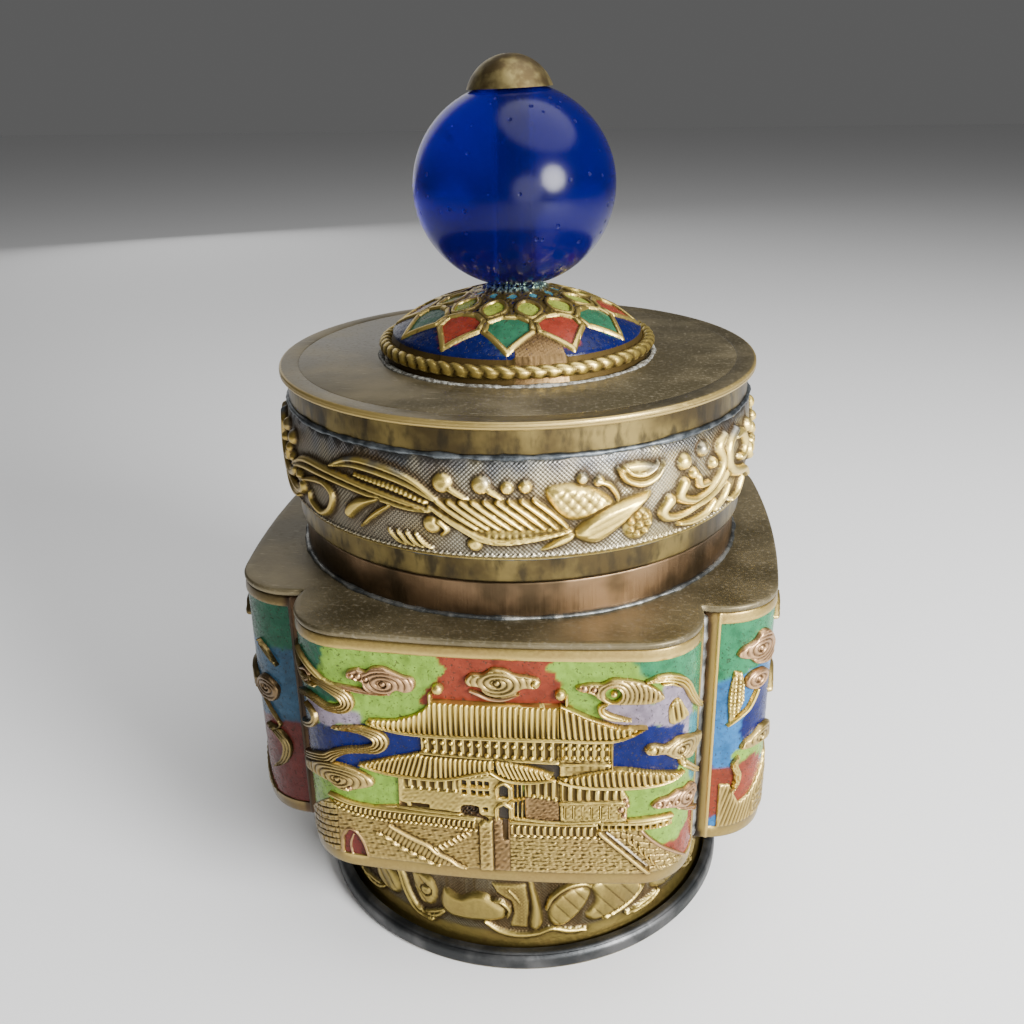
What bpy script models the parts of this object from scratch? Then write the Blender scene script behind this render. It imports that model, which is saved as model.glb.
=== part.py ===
# Champleve enamel tea caddy with a blue glass finial, at its real size.
# Its base plate stands on Z = 0 with +Z up, and the panel with the gate tower faces -Y.
# Sizes below are in millimetres. Every mesh is brought to metres where it is made.

import math

import bmesh
import bpy
import numpy as np

MM = 0.001
GAP = 0.3
TURNED_SEGMENTS = 40

# Heights of the pieces as they stack up, each with the joint below it
BASE_THICKNESS = 0.8
FOOT_HEIGHT = 20.2
BODY_HEIGHT = 36.1
COLLAR_HEIGHT = 4.9
LOWER_BAND_HEIGHT = 4.4
EMBOSSED_HEIGHT = 12.0
UPPER_BAND_HEIGHT = 3.3
LID_THICKNESS = 1.0
DOME_HEIGHT = 9.0
BODY_FOOT = BASE_THICKNESS + FOOT_HEIGHT
BODY_TOP = BODY_FOOT + BODY_HEIGHT
COLLAR_TOP = BODY_TOP + COLLAR_HEIGHT
LOWER_BAND_TOP = COLLAR_TOP + LOWER_BAND_HEIGHT
EMBOSSED_TOP = LOWER_BAND_TOP + EMBOSSED_HEIGHT
UPPER_BAND_TOP = EMBOSSED_TOP + UPPER_BAND_HEIGHT
LID_TOP = UPPER_BAND_TOP + GAP + LID_THICKNESS
DOME_TOP = LID_TOP + DOME_HEIGHT

# Foot
FOOT_RADIUS = 31.9
FOOT_RING_HEIGHT = 1.6
FOOT_RING_WIDTH = 1.6
FOOT_FLARE = 1.0
FOOT_FLARE_HEIGHT = 4.2
FOOT_LEAVES = 8
FOOT_BAND_RADIUS = FOOT_RADIUS - FOOT_RING_WIDTH - GAP - FOOT_FLARE

# Body: four lobes, each a nearly flat face between two round shoulders
LOBE_REACH = 37.1
FACE_RADIUS = 165.0
SHOULDER_RADIUS = 8.25
SHOULDER_SETBACK = 19.3
PANEL_THICKNESS = 1.8
PANEL_END_GAP = 0.25
PLATE_THICKNESS = 0.9
FLOOR_CLEARANCE = 1.0
FIELD_DEPTH = 0.4
BORDER_TOP_WIDTH = 1.4
BORDER_FOOT_WIDTH = 1.9
BORDER_SIDE_WIDTH = 3.6
SEAM_ROD_RADIUS = 1.4
SEAM_ROD_DEPTH = 1.5

# Neck and lid. The neck's thin sleeve stands up inside the lid
NECK_INSET = 5.9
NECK_STEP = 1.0
SLEEVE_WALL = 0.8
SLEEVE_HEIGHT = 10.0
LID_CLEARANCE = 0.4
LID_BAND_WALL = 1.2
UPPER_BAND_PROUD = 0.2
UPPER_BAND_WALL = 0.9
EMBOSSED_PROUD = 0.4
EMBOSSED_SWELL = 0.45
SHEET_THICKNESS = 1.0
DISC_OVERHANG = 1.2
DISC_ROUNDING = 0.35
NECK_RADIUS = LOBE_REACH - NECK_INSET
SLEEVE_RADIUS = NECK_RADIUS - NECK_STEP
NECK_OPENING = SLEEVE_RADIUS - SLEEVE_WALL
LID_BAND_RADIUS = SLEEVE_RADIUS + LID_CLEARANCE + LID_BAND_WALL
EMBOSSED_RADIUS = LID_BAND_RADIUS + EMBOSSED_PROUD
LID_RADIUS = LID_BAND_RADIUS + DISC_OVERHANG

# Dome with its petals and rope border
DOME_SPREAD = 17.2
DOME_FLAT = 4.0
ROPE_THICKNESS = 0.9
ROPE_LAY_DEPTH = 0.35
ROPE_LAYS = 44
PETALS = 12
PETAL_TURN = math.radians(2.0)
PETAL_RISE = 0.5

# Finial
BEAD_RADIUS = 13.46
BEAD_HALF_HEIGHT = 12.95
BORE_RADIUS = 2.2
STEM_RADIUS = 1.0
STEM_HOLE = 1.6
STEM_HEAD_RADIUS = 2.4
STEM_HEAD_THICKNESS = 0.8
CAP_RADIUS = 5.6
CAP_HEIGHT = 4.1
CAP_WALL = 0.8
CAP_CLEARANCE = 0.4
CAP_SLIP = math.radians(-4.0)
BEAD_CENTRE = DOME_TOP + GAP + BEAD_HALF_HEIGHT * math.sqrt(1.0 - (BORE_RADIUS / BEAD_RADIUS) ** 2)

# Sizes at which the carvings are drawn. They stretch with the pieces that carry them
DRAWN_PANEL = {"left": -32.6, "right": 32.6, "foot": 21.0, "top": 55.9}
DRAWN_BAND = {"left": 0.0, "right": 202.4, "foot": 66.7, "top": 78.4}
DRAWN_FOOT = {"left": 0.0, "right": 182.2, "foot": 1.1, "top": 20.7}


def clear_scene():
    for thing in list(bpy.data.objects):
        bpy.data.objects.remove(thing, do_unlink=True)


def make_collection(name):
    group = bpy.data.collections.new(name)
    bpy.context.scene.collection.children.link(group)
    return group


def make_material(name, colour, roughness, metallic):
    material = bpy.data.materials.new(name)
    material.use_nodes = True
    shader = material.node_tree.nodes["Principled BSDF"]
    shader.inputs["Base Color"].default_value = (*colour, 1.0)
    shader.inputs["Roughness"].default_value = roughness
    shader.inputs["Metallic"].default_value = metallic
    return material


def add_object(name, mesh, material):
    thing = bpy.data.objects.new(name, mesh)
    caddy.objects.link(thing)
    mesh.materials.append(material)
    return thing


def settle(thing, sharp_angle=40.0):
    """Apply the modifiers and shade the result smooth between its sharp edges."""
    depsgraph = bpy.context.evaluated_depsgraph_get()
    finished = bpy.data.meshes.new_from_object(thing.evaluated_get(depsgraph))
    thing.modifiers.clear()
    thing.data = finished
    finished.shade_smooth()
    finished.set_sharp_from_angle(angle=math.radians(sharp_angle))
    return thing


def add_turned(name, profile, material, segments=TURNED_SEGMENTS, closed=True):
    """Turn a profile of (radius, height) points, listed down its outer side, about Z."""
    points = [(radius * MM, 0.0, height * MM) for radius, height in profile]
    edges = [(i, i + 1) for i in range(len(points) - 1)]
    if closed:
        edges.append((len(points) - 1, 0))
    mesh = bpy.data.meshes.new(name)
    mesh.from_pydata(points, edges, [])
    thing = add_object(name, mesh, material)
    screw = thing.modifiers.new("Turn", "SCREW")
    screw.axis = "Z"
    screw.angle = math.tau
    screw.steps = segments
    screw.render_steps = segments
    screw.use_merge_vertices = True
    screw.merge_threshold = 1e-6
    return settle(thing)


def ring_profile(outer, inner, top, foot):
    return [(inner, top), (outer, top), (outer, foot), (inner, foot)]


# Plan of one lobe, as a distance along its outline from the middle of its face

SHOULDER_OFFSET = LOBE_REACH - SHOULDER_SETBACK
FACE_ANGLE = math.asin(SHOULDER_OFFSET / (FACE_RADIUS - SHOULDER_RADIUS))
FACE_LENGTH = FACE_RADIUS * FACE_ANGLE
FACE_CENTRE = LOBE_REACH - FACE_RADIUS
SHOULDER_CENTRE = FACE_CENTRE + (FACE_RADIUS - SHOULDER_RADIUS) * math.cos(FACE_ANGLE)
NOTCH_ANGLE = math.acos((SHOULDER_CENTRE - SHOULDER_OFFSET) / (SHOULDER_RADIUS * math.sqrt(2))) - math.pi / 4
SHOULDER_LENGTH = SHOULDER_RADIUS * (math.pi / 2 - FACE_ANGLE - NOTCH_ANGLE)
HALF_LOBE = FACE_LENGTH + SHOULDER_LENGTH
NOTCH_REACH = SHOULDER_OFFSET + SHOULDER_RADIUS * math.cos(NOTCH_ANGLE)


def lobe_outline(along):
    """Points and outward normals of the lobe that faces -Y, with +X to the right."""
    distance = np.abs(along)
    side = np.sign(along)
    on_face = distance <= FACE_LENGTH
    face_turn = distance / FACE_RADIUS
    shoulder_turn = math.pi / 2 - FACE_ANGLE - (distance - FACE_LENGTH) / SHOULDER_RADIUS
    across = np.where(on_face, np.sin(face_turn), np.cos(shoulder_turn))
    outward = np.where(on_face, np.cos(face_turn), np.sin(shoulder_turn))
    x = np.where(on_face, FACE_RADIUS * across, SHOULDER_OFFSET + SHOULDER_RADIUS * across)
    y = np.where(on_face, FACE_CENTRE + FACE_RADIUS * outward, SHOULDER_CENTRE + SHOULDER_RADIUS * outward)
    return np.stack([side * x, -y], -1), np.stack([side * across, -outward], -1)


def lobed_plan(inset, shoulder_steps=7, face_steps=4):
    """The closed outline of all four lobes, moved inwards by an inset."""
    reach = HALF_LOBE
    shoulder = np.linspace(FACE_LENGTH, reach, shoulder_steps)
    face = np.linspace(-FACE_LENGTH, FACE_LENGTH, face_steps)
    along = np.concatenate([-shoulder[:0:-1], face, shoulder[1:]])
    points, normals = lobe_outline(along)
    lobe = points - inset * normals
    own_side = np.abs(lobe[:, 0]) < -lobe[:, 1] - GAP
    lobe = lobe[own_side]
    plan = []
    for quarter in range(4):
        turn = quarter * math.pi / 2
        turned_x = lobe[:, 0] * math.cos(turn) - lobe[:, 1] * math.sin(turn)
        turned_y = lobe[:, 0] * math.sin(turn) + lobe[:, 1] * math.cos(turn)
        plan += list(zip(turned_x, turned_y))
    return plan


def circle_plan(radius, segments):
    turns = [math.tau * k / segments for k in range(segments)]
    return [(radius * math.cos(turn), radius * math.sin(turn)) for turn in turns]


def add_flat_plate(name, outlines, foot, thickness, material):
    """A flat plate between outlines, the first its edge and any other a hole in it."""
    curve = bpy.data.curves.new(name, "CURVE")
    curve.dimensions = "2D"
    curve.fill_mode = "BOTH"
    curve.extrude = thickness * MM / 2
    for outline in outlines:
        spline = curve.splines.new("POLY")
        spline.points.add(len(outline) - 1)
        for point, (x, y) in zip(spline.points, outline):
            point.co = (x * MM, y * MM, 0.0, 1.0)
        spline.use_cyclic_u = True
    guide = bpy.data.objects.new(name + "_outline", curve)
    caddy.objects.link(guide)
    depsgraph = bpy.context.evaluated_depsgraph_get()
    mesh = bpy.data.meshes.new_from_object(guide.evaluated_get(depsgraph))
    bpy.data.objects.remove(guide, do_unlink=True)
    work = bmesh.new()
    work.from_mesh(mesh)
    bmesh.ops.remove_doubles(work, verts=work.verts, dist=1e-6)
    bmesh.ops.recalc_face_normals(work, faces=work.faces)
    work.to_mesh(mesh)
    work.free()
    thing = add_object(name, mesh, material)
    thing.location.z = (foot + thickness / 2) * MM
    return thing


def add_relief_sheet(name, outer, inner, wraps, material, triangles):
    """Close a sheet between two grids of points, then thin it to a number of triangles."""
    rows, columns = outer.shape[:2]
    front = np.arange(rows * columns).reshape(rows, columns)
    back = front + rows * columns
    if wraps:
        front = np.hstack([front, front[:, :1]])
        back = np.hstack([back, back[:, :1]])

    def strip(low, high):
        return np.stack([low[:-1], low[1:], high[1:], high[:-1]], -1).reshape(-1, 4)

    faces = []
    for i in range(rows - 1):
        faces.append(strip(front[i], front[i + 1]))
        faces.append(strip(back[i + 1], back[i]))
    faces.append(strip(back[0], front[0]))
    faces.append(strip(front[-1], back[-1]))
    if not wraps:
        faces.append(strip(front[:, 0], back[:, 0]))
        faces.append(strip(back[:, -1], front[:, -1]))
    points = np.concatenate([outer.reshape(-1, 3), inner.reshape(-1, 3)]) * MM
    mesh = bpy.data.meshes.new(name)
    mesh.from_pydata(points.tolist(), [], np.concatenate(faces).tolist())
    work = bmesh.new()
    work.from_mesh(mesh)
    bmesh.ops.recalc_face_normals(work, faces=work.faces)
    bmesh.ops.triangulate(work, faces=work.faces)
    full = len(work.faces)
    work.to_mesh(mesh)
    work.free()
    thing = add_object(name, mesh, material)
    thin = thing.modifiers.new("Thin", "DECIMATE")
    thin.ratio = triangles / full
    return settle(thing, 60.0)


# Relief shapes. Each gives a height in millimetres at every point of a grid

def line_distance(x, y, points):
    nearest = np.full(np.shape(x), np.inf)
    for (x0, y0), (x1, y1) in zip(points[:-1], points[1:]):
        run = np.array([x1 - x0, y1 - y0])
        share = ((x - x0) * run[0] + (y - y0) * run[1]) / max(run @ run, 1e-9)
        share = np.clip(share, 0.0, 1.0)
        nearest = np.minimum(nearest, np.hypot(x - x0 - share * run[0], y - y0 - share * run[1]))
    return nearest


def ridge(x, y, points, half_width, height):
    near = line_distance(x, y, points) / half_width
    return height * np.clip(1.0 - near ** 2, 0.0, 1.0)


def blob(x, y, centre, half_width, half_height, height, turn=0.0):
    along = (x - centre[0]) * math.cos(turn) + (y - centre[1]) * math.sin(turn)
    across = (y - centre[1]) * math.cos(turn) - (x - centre[0]) * math.sin(turn)
    near = (along / half_width) ** 2 + (across / half_height) ** 2
    return height * np.clip(1.0 - near, 0.0, 1.0)


def block(x, y, corners, height, bevel=0.6):
    """A flat-topped shape with straight sides that slope over a bevel's width."""
    inside = np.zeros(np.shape(x), bool)
    closed = corners + corners[:1]
    for (x0, y0), (x1, y1) in zip(closed[:-1], closed[1:]):
        crosses = (y0 > y) != (y1 > y)
        rise = y1 - y0 if y1 != y0 else 1e-9
        inside ^= crosses & (x < x0 + (x1 - x0) * (y - y0) / rise)
    edge = line_distance(x, y, closed)
    return np.where(inside, height * np.clip(edge / bevel, 0.0, 1.0), 0.0)


def coil_points(centre, radius, turns, start, steps=18):
    """A spiral that winds in from its radius; a negative number of turns winds clockwise."""
    points = []
    for k in range(steps + 1):
        share = k / steps
        turn = start + math.tau * turns * share
        reach = radius * (1.0 - 0.85 * share)
        points.append((centre[0] + reach * math.cos(turn), centre[1] + reach * math.sin(turn)))
    return points


def scroll_cloud(x, y, centre, size, turns, height=0.9):
    """A cloud with a coil in its middle, a long arm one way and a short one the other way."""
    arm = math.copysign(size, turns)
    cx, cy = centre
    cloud = ridge(x, y, coil_points(centre, 0.45 * size, turns, 0.0), 0.26 * size, height)
    long_arm = [(cx, cy - 0.42 * size), (cx + arm, cy - 0.3 * size), (cx + 1.6 * arm, cy - 0.05 * size)]
    short_arm = [(cx, cy + 0.35 * size), (cx - 0.9 * arm, cy + 0.25 * size), (cx - 1.3 * arm, cy)]
    for points in (long_arm, short_arm):
        cloud = np.maximum(cloud, ridge(x, y, points, 0.3 * size, height))
    return cloud


def drawn_at(along, height, drawn):
    """Bring the points of a sheet to the sizes at which its carving is drawn."""
    across = (along - along.min()) / (along.max() - along.min())
    up = (height - height.min()) / (height.max() - height.min())
    return (drawn["left"] + across * (drawn["right"] - drawn["left"]),
            drawn["foot"] + up * (drawn["top"] - drawn["foot"]))


def join(picture, *shapes):
    for shape in shapes:
        picture = np.maximum(picture, shape)
    return picture


def gate_tower(x, y):
    """A two-roofed gate tower on a brick terrace, with clouds beside it."""
    upper_roof = [(-15.5, 45.2), (-11.0, 46.2), (-7.3, 48.4), (8.8, 48.6), (13.6, 46.4), (18.8, 45.6),
                  (14.9, 43.5), (1.3, 43.2), (-8.8, 42.6)]
    upper_storey = [(-8.8, 43.2), (15.0, 43.9), (15.0, 39.4), (-8.8, 39.4)]
    lower_roof = [(-17.5, 38.1), (-8.8, 40.4), (15.0, 40.2), (25.0, 39.2), (20.0, 36.8), (13.7, 36.1),
                  (0.0, 38.0), (-6.0, 36.9), (-12.0, 36.4)]
    lower_storey = [(-11.8, 37.4), (17.0, 37.0), (17.0, 31.0), (-11.8, 32.6)]
    terrace = [(-20.5, 32.6), (14.0, 31.0), (20.5, 23.2), (-21.5, 23.2)]
    wing = [(16.0, 29.4), (21.0, 29.0), (24.5, 24.4), (20.5, 23.2)]
    picture = block(x, y, terrace, 0.65)
    for shape, height in ((wing, 0.45), (lower_storey, 0.75), (upper_storey, 0.65), (lower_roof, 1.15),
                          (upper_roof, 1.15)):
        picture = join(picture, block(x, y, shape, height))
    for end in ((-6.3, 50.0), (8.8, 50.2)):
        picture = join(picture, blob(x, y, end, 1.1, 1.1, 1.2))
    for rail in ([(-16.0, 28.6), (-6.0, 23.4)], [(13.8, 29.8), (19.2, 23.6)], [(-0.8, 31.0), (-0.3, 23.4)],
                 [(14.5, 30.7), (23.0, 31.3)]):
        picture = join(picture, ridge(x, y, rail, 0.9, 1.2))
    clouds = [((-13.4, 50.6), 3.0, -1.2), ((1.9, 51.6), 2.8, 1.2), ((15.1, 50.8), 3.0, 1.2),
              ((-20.3, 35.6), 3.2, 1.2), ((24.1, 43.0), 2.8, -1.2), ((23.6, 34.6), 2.2, 1.2)]
    for centre, size, turns in clouds:
        picture = join(picture, scroll_cloud(x, y, centre, size, turns))
    stream = [(-21.0, 43.4), (-15.5, 42.8), (-13.4, 41.4), (-16.0, 40.2), (-21.6, 39.4)]
    arch = [(21.0, 52.0), (23.5, 52.6), (26.0, 51.2), (28.0, 48.0)]
    streak = [(-24.4, 51.5), (-20.6, 47.6), (-17.8, 46.3)]
    for points in (stream, arch, streak):
        picture = join(picture, ridge(x, y, points, 1.2, 0.9))
    return picture


def pagoda_hill(x, y):
    """A pagoda on a rocky bank, under drifting clouds."""
    bank = [(-27.0, 23.2), (-27.0, 31.5), (-21.0, 33.0), (-12.0, 29.0), (0.0, 31.0), (12.0, 27.5),
            (22.0, 31.0), (27.0, 29.0), (27.0, 23.2)]
    wall = [(-27.0, 38.0), (-22.0, 40.0), (-21.5, 50.5), (-24.5, 50.5)]
    picture = join(block(x, y, bank, 0.7), block(x, y, wall, 0.8))
    for storey in range(3):
        low = 31.0 + 5.2 * storey
        half = 6.0 - 1.3 * storey
        hall = [(3.0 - half, low), (3.0 + half, low), (3.0 + half, low + 3.4), (3.0 - half, low + 3.4)]
        roof = [(-half, low + 3.2), (3.0, low + 2.6), (6.0 + half, low + 3.2),
                (3.6 + 0.5 * half, low + 5.2), (2.4 - 0.5 * half, low + 5.2)]
        picture = join(picture, block(x, y, hall, 0.6), block(x, y, roof, 1.1))
    clouds = [((-15.0, 51.0), 2.8, 1.2), ((15.0, 50.0), 3.0, -1.2), ((-13.0, 40.5), 3.0, -1.2),
              ((20.0, 40.5), 3.2, 1.2)]
    for centre, size, turns in clouds:
        picture = join(picture, scroll_cloud(x, y, centre, size, turns))
    return picture


def phoenix(x, y, middle):
    """A flying phoenix with its wing raised, head to the right and tail streaming left."""
    picture = join(blob(x, y, (middle + 3.0, 72.0), 6.5, 2.6, 1.1, -0.25),
                   blob(x, y, (middle + 13.0, 70.2), 6.5, 2.0, 1.1, 0.35))
    for k in range(4):
        root = middle + 4.0 - 2.6 * k
        picture = join(picture, ridge(x, y, [(root, 71.0), (root - 4.2, 75.4)], 1.0, 1.0),
                       blob(x, y, (root - 4.6, 75.6), 1.7, 1.6, 1.1))
    root = (middle - 6.0, 72.6)
    for rise, length in ((3.4, 17.0), (-0.6, 24.0), (-3.8, 15.0)):
        feather = [root, (root[0] - 0.45 * length, root[1] + rise), (root[0] - length, root[1] + 0.3 * rise)]
        picture = join(picture, ridge(x, y, feather, 1.2, 1.0))
    return picture


def leaf_scroll(x, y, middle):
    """A winding stem with round leaves on both sides of it."""
    steps = 12
    stem = []
    for k in range(steps + 1):
        share = 2 * k / steps - 1
        stem.append((middle + 12.0 * share, 72.6 + 2.2 * math.sin(math.tau * share)))
    picture = ridge(x, y, stem, 1.1, 0.9)
    for place, side in ((-11, 1), (-6, 1), (-5, -1), (0, 1), (1, -1), (6, -1), (6.5, 1)):
        leaf = (middle + place, 72.6 + 3.2 * side)
        picture = join(picture, blob(x, y, leaf, 2.4, 1.7, 1.1, 0.5 * side))
    return picture


def foot_leaf(x, y, middle):
    """A spread leaf with a curled arm on each side, one of those round the foot."""
    picture = blob(x, y, (middle, 12.0), 6.0, 3.8, 1.1)
    for side in (-1.0, 1.0):
        tip = middle + side * 9.0
        arm = [(middle, 8.2), (middle + side * 5.0, 7.0), (tip, 9.5), (tip, 14.0)]
        curl = blob(x, y, (tip - side, 15.0), 2.4, 2.0, 1.1)
        picture = join(picture, ridge(x, y, arm, 1.5, 1.0), curl)
    return picture


def round_grid(radius, turn, height):
    """Points at a turn counted from -Y towards +X."""
    return np.stack([radius * np.sin(turn), -radius * np.cos(turn), height], -1)


# Foot: base plate, dark half-round ring and embossed drum

def base_plate_profile():
    edge = BASE_THICKNESS / 4
    return [(0.0, BASE_THICKNESS), (FOOT_RADIUS - edge, BASE_THICKNESS), (FOOT_RADIUS, BASE_THICKNESS / 2),
            (FOOT_RADIUS - edge, 0.0), (0.0, 0.0)]


def foot_ring_profile():
    low = BASE_THICKNESS + GAP
    inner = FOOT_RADIUS - FOOT_RING_WIDTH
    return [(inner, low + FOOT_RING_HEIGHT), (inner + FOOT_RING_WIDTH / 2, low + FOOT_RING_HEIGHT),
            (FOOT_RADIUS, low + FOOT_RING_HEIGHT / 2), (FOOT_RADIUS - 0.1, low), (inner, low)]


def add_foot_band():
    heights = np.linspace(BASE_THICKNESS + GAP, BODY_FOOT - GAP, 44)
    turns = np.linspace(0.0, math.tau, 300, endpoint=False)
    turn, height = np.meshgrid(turns, heights)
    along, drawn_height = drawn_at(turn, height, DRAWN_FOOT)
    relief = np.zeros(height.shape)
    for leaf in range(FOOT_LEAVES):
        middle = (leaf + 0.5) * DRAWN_FOOT["right"] / FOOT_LEAVES
        relief = join(relief, foot_leaf(along, drawn_height, middle))
    flare = np.clip((BASE_THICKNESS + FOOT_FLARE_HEIGHT - height) / FOOT_FLARE_HEIGHT, 0.0, 1.0)
    outside = FOOT_BAND_RADIUS + FOOT_FLARE * flare ** 2
    outer = round_grid(outside + relief, turn, height)
    inner = round_grid(outside - SHEET_THICKNESS, turn, height)
    return add_relief_sheet("foot_band", outer, inner, True, brass, 560)


# Body: four champleve panels, seam rods behind the notches, top and bottom plates

def add_panel(name, quarter, picture, triangles):
    half = HALF_LOBE - PANEL_END_GAP
    top = BODY_TOP - PLATE_THICKNESS - GAP
    along, height = np.meshgrid(np.linspace(-half, half, 150), np.linspace(BODY_FOOT, top, 84))
    border = np.minimum.reduce([
        (top - height) / BORDER_TOP_WIDTH,
        (height - BODY_FOOT) / BORDER_FOOT_WIDTH,
        (half - np.abs(along)) / BORDER_SIDE_WIDTH,
    ])
    carving = picture(*drawn_at(along, height, DRAWN_PANEL))
    relief = np.where(border < 1.0, FIELD_DEPTH, carving) - FIELD_DEPTH
    points, normals = lobe_outline(along)
    front = points + relief[..., None] * normals
    back = points - PANEL_THICKNESS * normals
    turn = quarter * math.pi / 2
    spin = np.array([[math.cos(turn), math.sin(turn)], [-math.sin(turn), math.cos(turn)]])
    outer = np.dstack([front @ spin, height])
    inner = np.dstack([back @ spin, height])
    return add_relief_sheet(name, outer, inner, False, enamel, triangles)


def add_seam_rods():
    foot = BODY_FOOT + PLATE_THICKNESS + 2 * GAP
    top = BODY_TOP - PLATE_THICKNESS - GAP
    place = NOTCH_REACH - SEAM_ROD_DEPTH
    for corner, (x, y) in enumerate(((1, -1), (1, 1), (-1, 1), (-1, -1))):
        bpy.ops.mesh.primitive_cylinder_add(vertices=12, radius=SEAM_ROD_RADIUS * MM, depth=(top - foot) * MM)
        rod = bpy.context.active_object
        rod.name = f"seam_rod_{corner + 1}"
        rod.location = (x * place * MM, y * place * MM, (foot + top) / 2 * MM)
        rod.data.materials.append(solder)
        for group in list(rod.users_collection):
            group.objects.unlink(rod)
        caddy.objects.link(rod)


# Lid: flat disc, three bands under it and the enamelled dome

def lid_disc_profile():
    foot = LID_TOP - LID_THICKNESS
    edge = LID_RADIUS - DISC_ROUNDING
    return [(STEM_HOLE, LID_TOP), (edge, LID_TOP), (LID_RADIUS, LID_TOP - DISC_ROUNDING),
            (LID_RADIUS, foot + DISC_ROUNDING), (edge, foot), (STEM_HOLE, foot)]


def add_embossed_band():
    heights = np.linspace(LOWER_BAND_TOP + GAP, EMBOSSED_TOP, 44)
    turns = np.linspace(0.0, math.tau, 420, endpoint=False)
    turn, height = np.meshgrid(turns, heights)
    along, drawn_height = drawn_at(turn, height, DRAWN_BAND)
    girth = DRAWN_BAND["right"]
    relief = np.zeros(height.shape)
    for half in range(2):
        start = half * girth / 2
        for picture, middle in ((phoenix, start + 3.0), (leaf_scroll, start + girth / 4)):
            for lap in (-girth, 0.0, girth):
                relief = join(relief, picture(along, drawn_height, middle + lap))
    share = (height - heights[0]) / (heights[-1] - heights[0])
    relief *= np.clip(np.minimum(share, 1.0 - share) / 0.08, 0.0, 1.0)
    outside = EMBOSSED_RADIUS + EMBOSSED_SWELL * np.sin(math.pi * share)
    outer = round_grid(outside + relief, turn, height)
    inner = round_grid(outside - SHEET_THICKNESS, turn, height)
    return add_relief_sheet("lid_embossed_band", outer, inner, True, brass, 1100)


def dome_height(reach):
    """The dome's upper face: steep round its flat middle, then a long cone that steepens at its edge."""
    share = np.clip((reach - DOME_FLAT) / (DOME_SPREAD - DOME_FLAT), 0.0, 1.0)
    return DOME_TOP - DOME_HEIGHT * (0.30 * share + 0.26 * share ** 3) - 0.06 * DOME_HEIGHT * np.sqrt(share)


def dome_petals(turn, share):
    """Raised outlines of a lower ring of pointed petals and an upper ring of round ones."""
    step = math.tau / PETALS
    reach = DOME_SPREAD * share
    petal_turn = (turn - PETAL_TURN + step / 2) % step - step / 2
    outline = [(0.0, 0.69), (0.13, 0.7), (0.175, 0.825), (0.0, 0.96), (-0.175, 0.825), (-0.13, 0.7),
               (0.0, 0.69)]
    corners = [(DOME_SPREAD * across, DOME_SPREAD * out) for across, out in outline]
    petals = ridge(petal_turn * reach, reach, corners, 0.7, PETAL_RISE)
    upper_turn = (turn - PETAL_TURN) % step - step / 2
    upper = np.hypot(upper_turn * reach / 2.1, (share - 0.593) / 0.087)
    rings = 0.7 * PETAL_RISE * np.sqrt(np.clip(1.0 - ((upper - 1.0) / 0.3) ** 2, 0.0, 1.0))
    return join(petals, rings)


def add_dome():
    """The dome's sheet: a flat round the stem, the petals, the rope and a skirt down to the disc."""
    turns = np.linspace(0.0, math.tau, 12 * ROPE_LAYS, endpoint=False)
    turn, reach = np.meshgrid(turns, np.linspace(DOME_FLAT, DOME_SPREAD, 36))
    petals = round_grid(reach, turn, dome_height(reach) + dome_petals(turn, reach / DOME_SPREAD))
    rope_radius = DOME_SPREAD + 1.2 * ROPE_THICKNESS
    rope_height = float(dome_height(DOME_SPREAD)) - 1.2 * ROPE_THICKNESS
    turn, bend = np.meshgrid(turns, np.radians(np.linspace(140.0, -70.0, 12)))
    lay = np.abs(np.sin(0.5 * ROPE_LAYS * turn + 1.2 * bend))
    thickness = ROPE_THICKNESS - ROPE_LAY_DEPTH * (1.0 - lay)
    rope = round_grid(rope_radius + thickness * np.cos(bend), turn, rope_height + thickness * np.sin(bend))
    foot = LID_TOP + GAP
    turn = turns[None, :]
    level = np.ones(turn.shape)
    outer = np.concatenate([
        round_grid(STEM_HOLE * level, turn, DOME_TOP * level),
        petals,
        rope,
        round_grid(rope_radius * level, turn, foot * level),
    ])
    inside_edge = rope_radius - ROPE_THICKNESS - 0.3
    share = np.linspace(0.0, 1.0, outer.shape[0] - 1)[:, None]
    inner_reach = STEM_HOLE + (inside_edge - STEM_HOLE) * share
    inner = round_grid(inner_reach * level, turn, dome_height(inner_reach) * level - SHEET_THICKNESS)
    inner = np.concatenate([inner, round_grid(inside_edge * level, turn, foot * level)])
    return add_relief_sheet("lid_dome", outer, inner, True, enamel, 1250)


# Finial: glass bead on a stem, held by a small cap that has slipped to one side

def bead_profile():
    steps = 8
    limit = math.acos(BORE_RADIUS / BEAD_RADIUS)
    profile = []
    for k in range(steps + 1):
        turn = limit - 2 * limit * k / steps
        profile.append((BEAD_RADIUS * math.cos(turn), BEAD_CENTRE + BEAD_HALF_HEIGHT * math.sin(turn)))
    return profile


def cap_rim():
    """How far the cap's rim stands above the bead's centre, a clearance above the glass."""
    return BEAD_HALF_HEIGHT * math.sqrt(1.0 - (CAP_RADIUS / BEAD_RADIUS) ** 2) + CAP_CLEARANCE


def stem_profile():
    head_top = LID_TOP - LID_THICKNESS - GAP
    top = BEAD_CENTRE + cap_rim() + (CAP_HEIGHT - CAP_WALL) / 2
    return [(0.0, top), (STEM_RADIUS, top), (STEM_RADIUS, head_top), (STEM_HEAD_RADIUS, head_top),
            (STEM_HEAD_RADIUS - 0.4, head_top - STEM_HEAD_THICKNESS), (0.0, head_top - STEM_HEAD_THICKNESS)]


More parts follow.
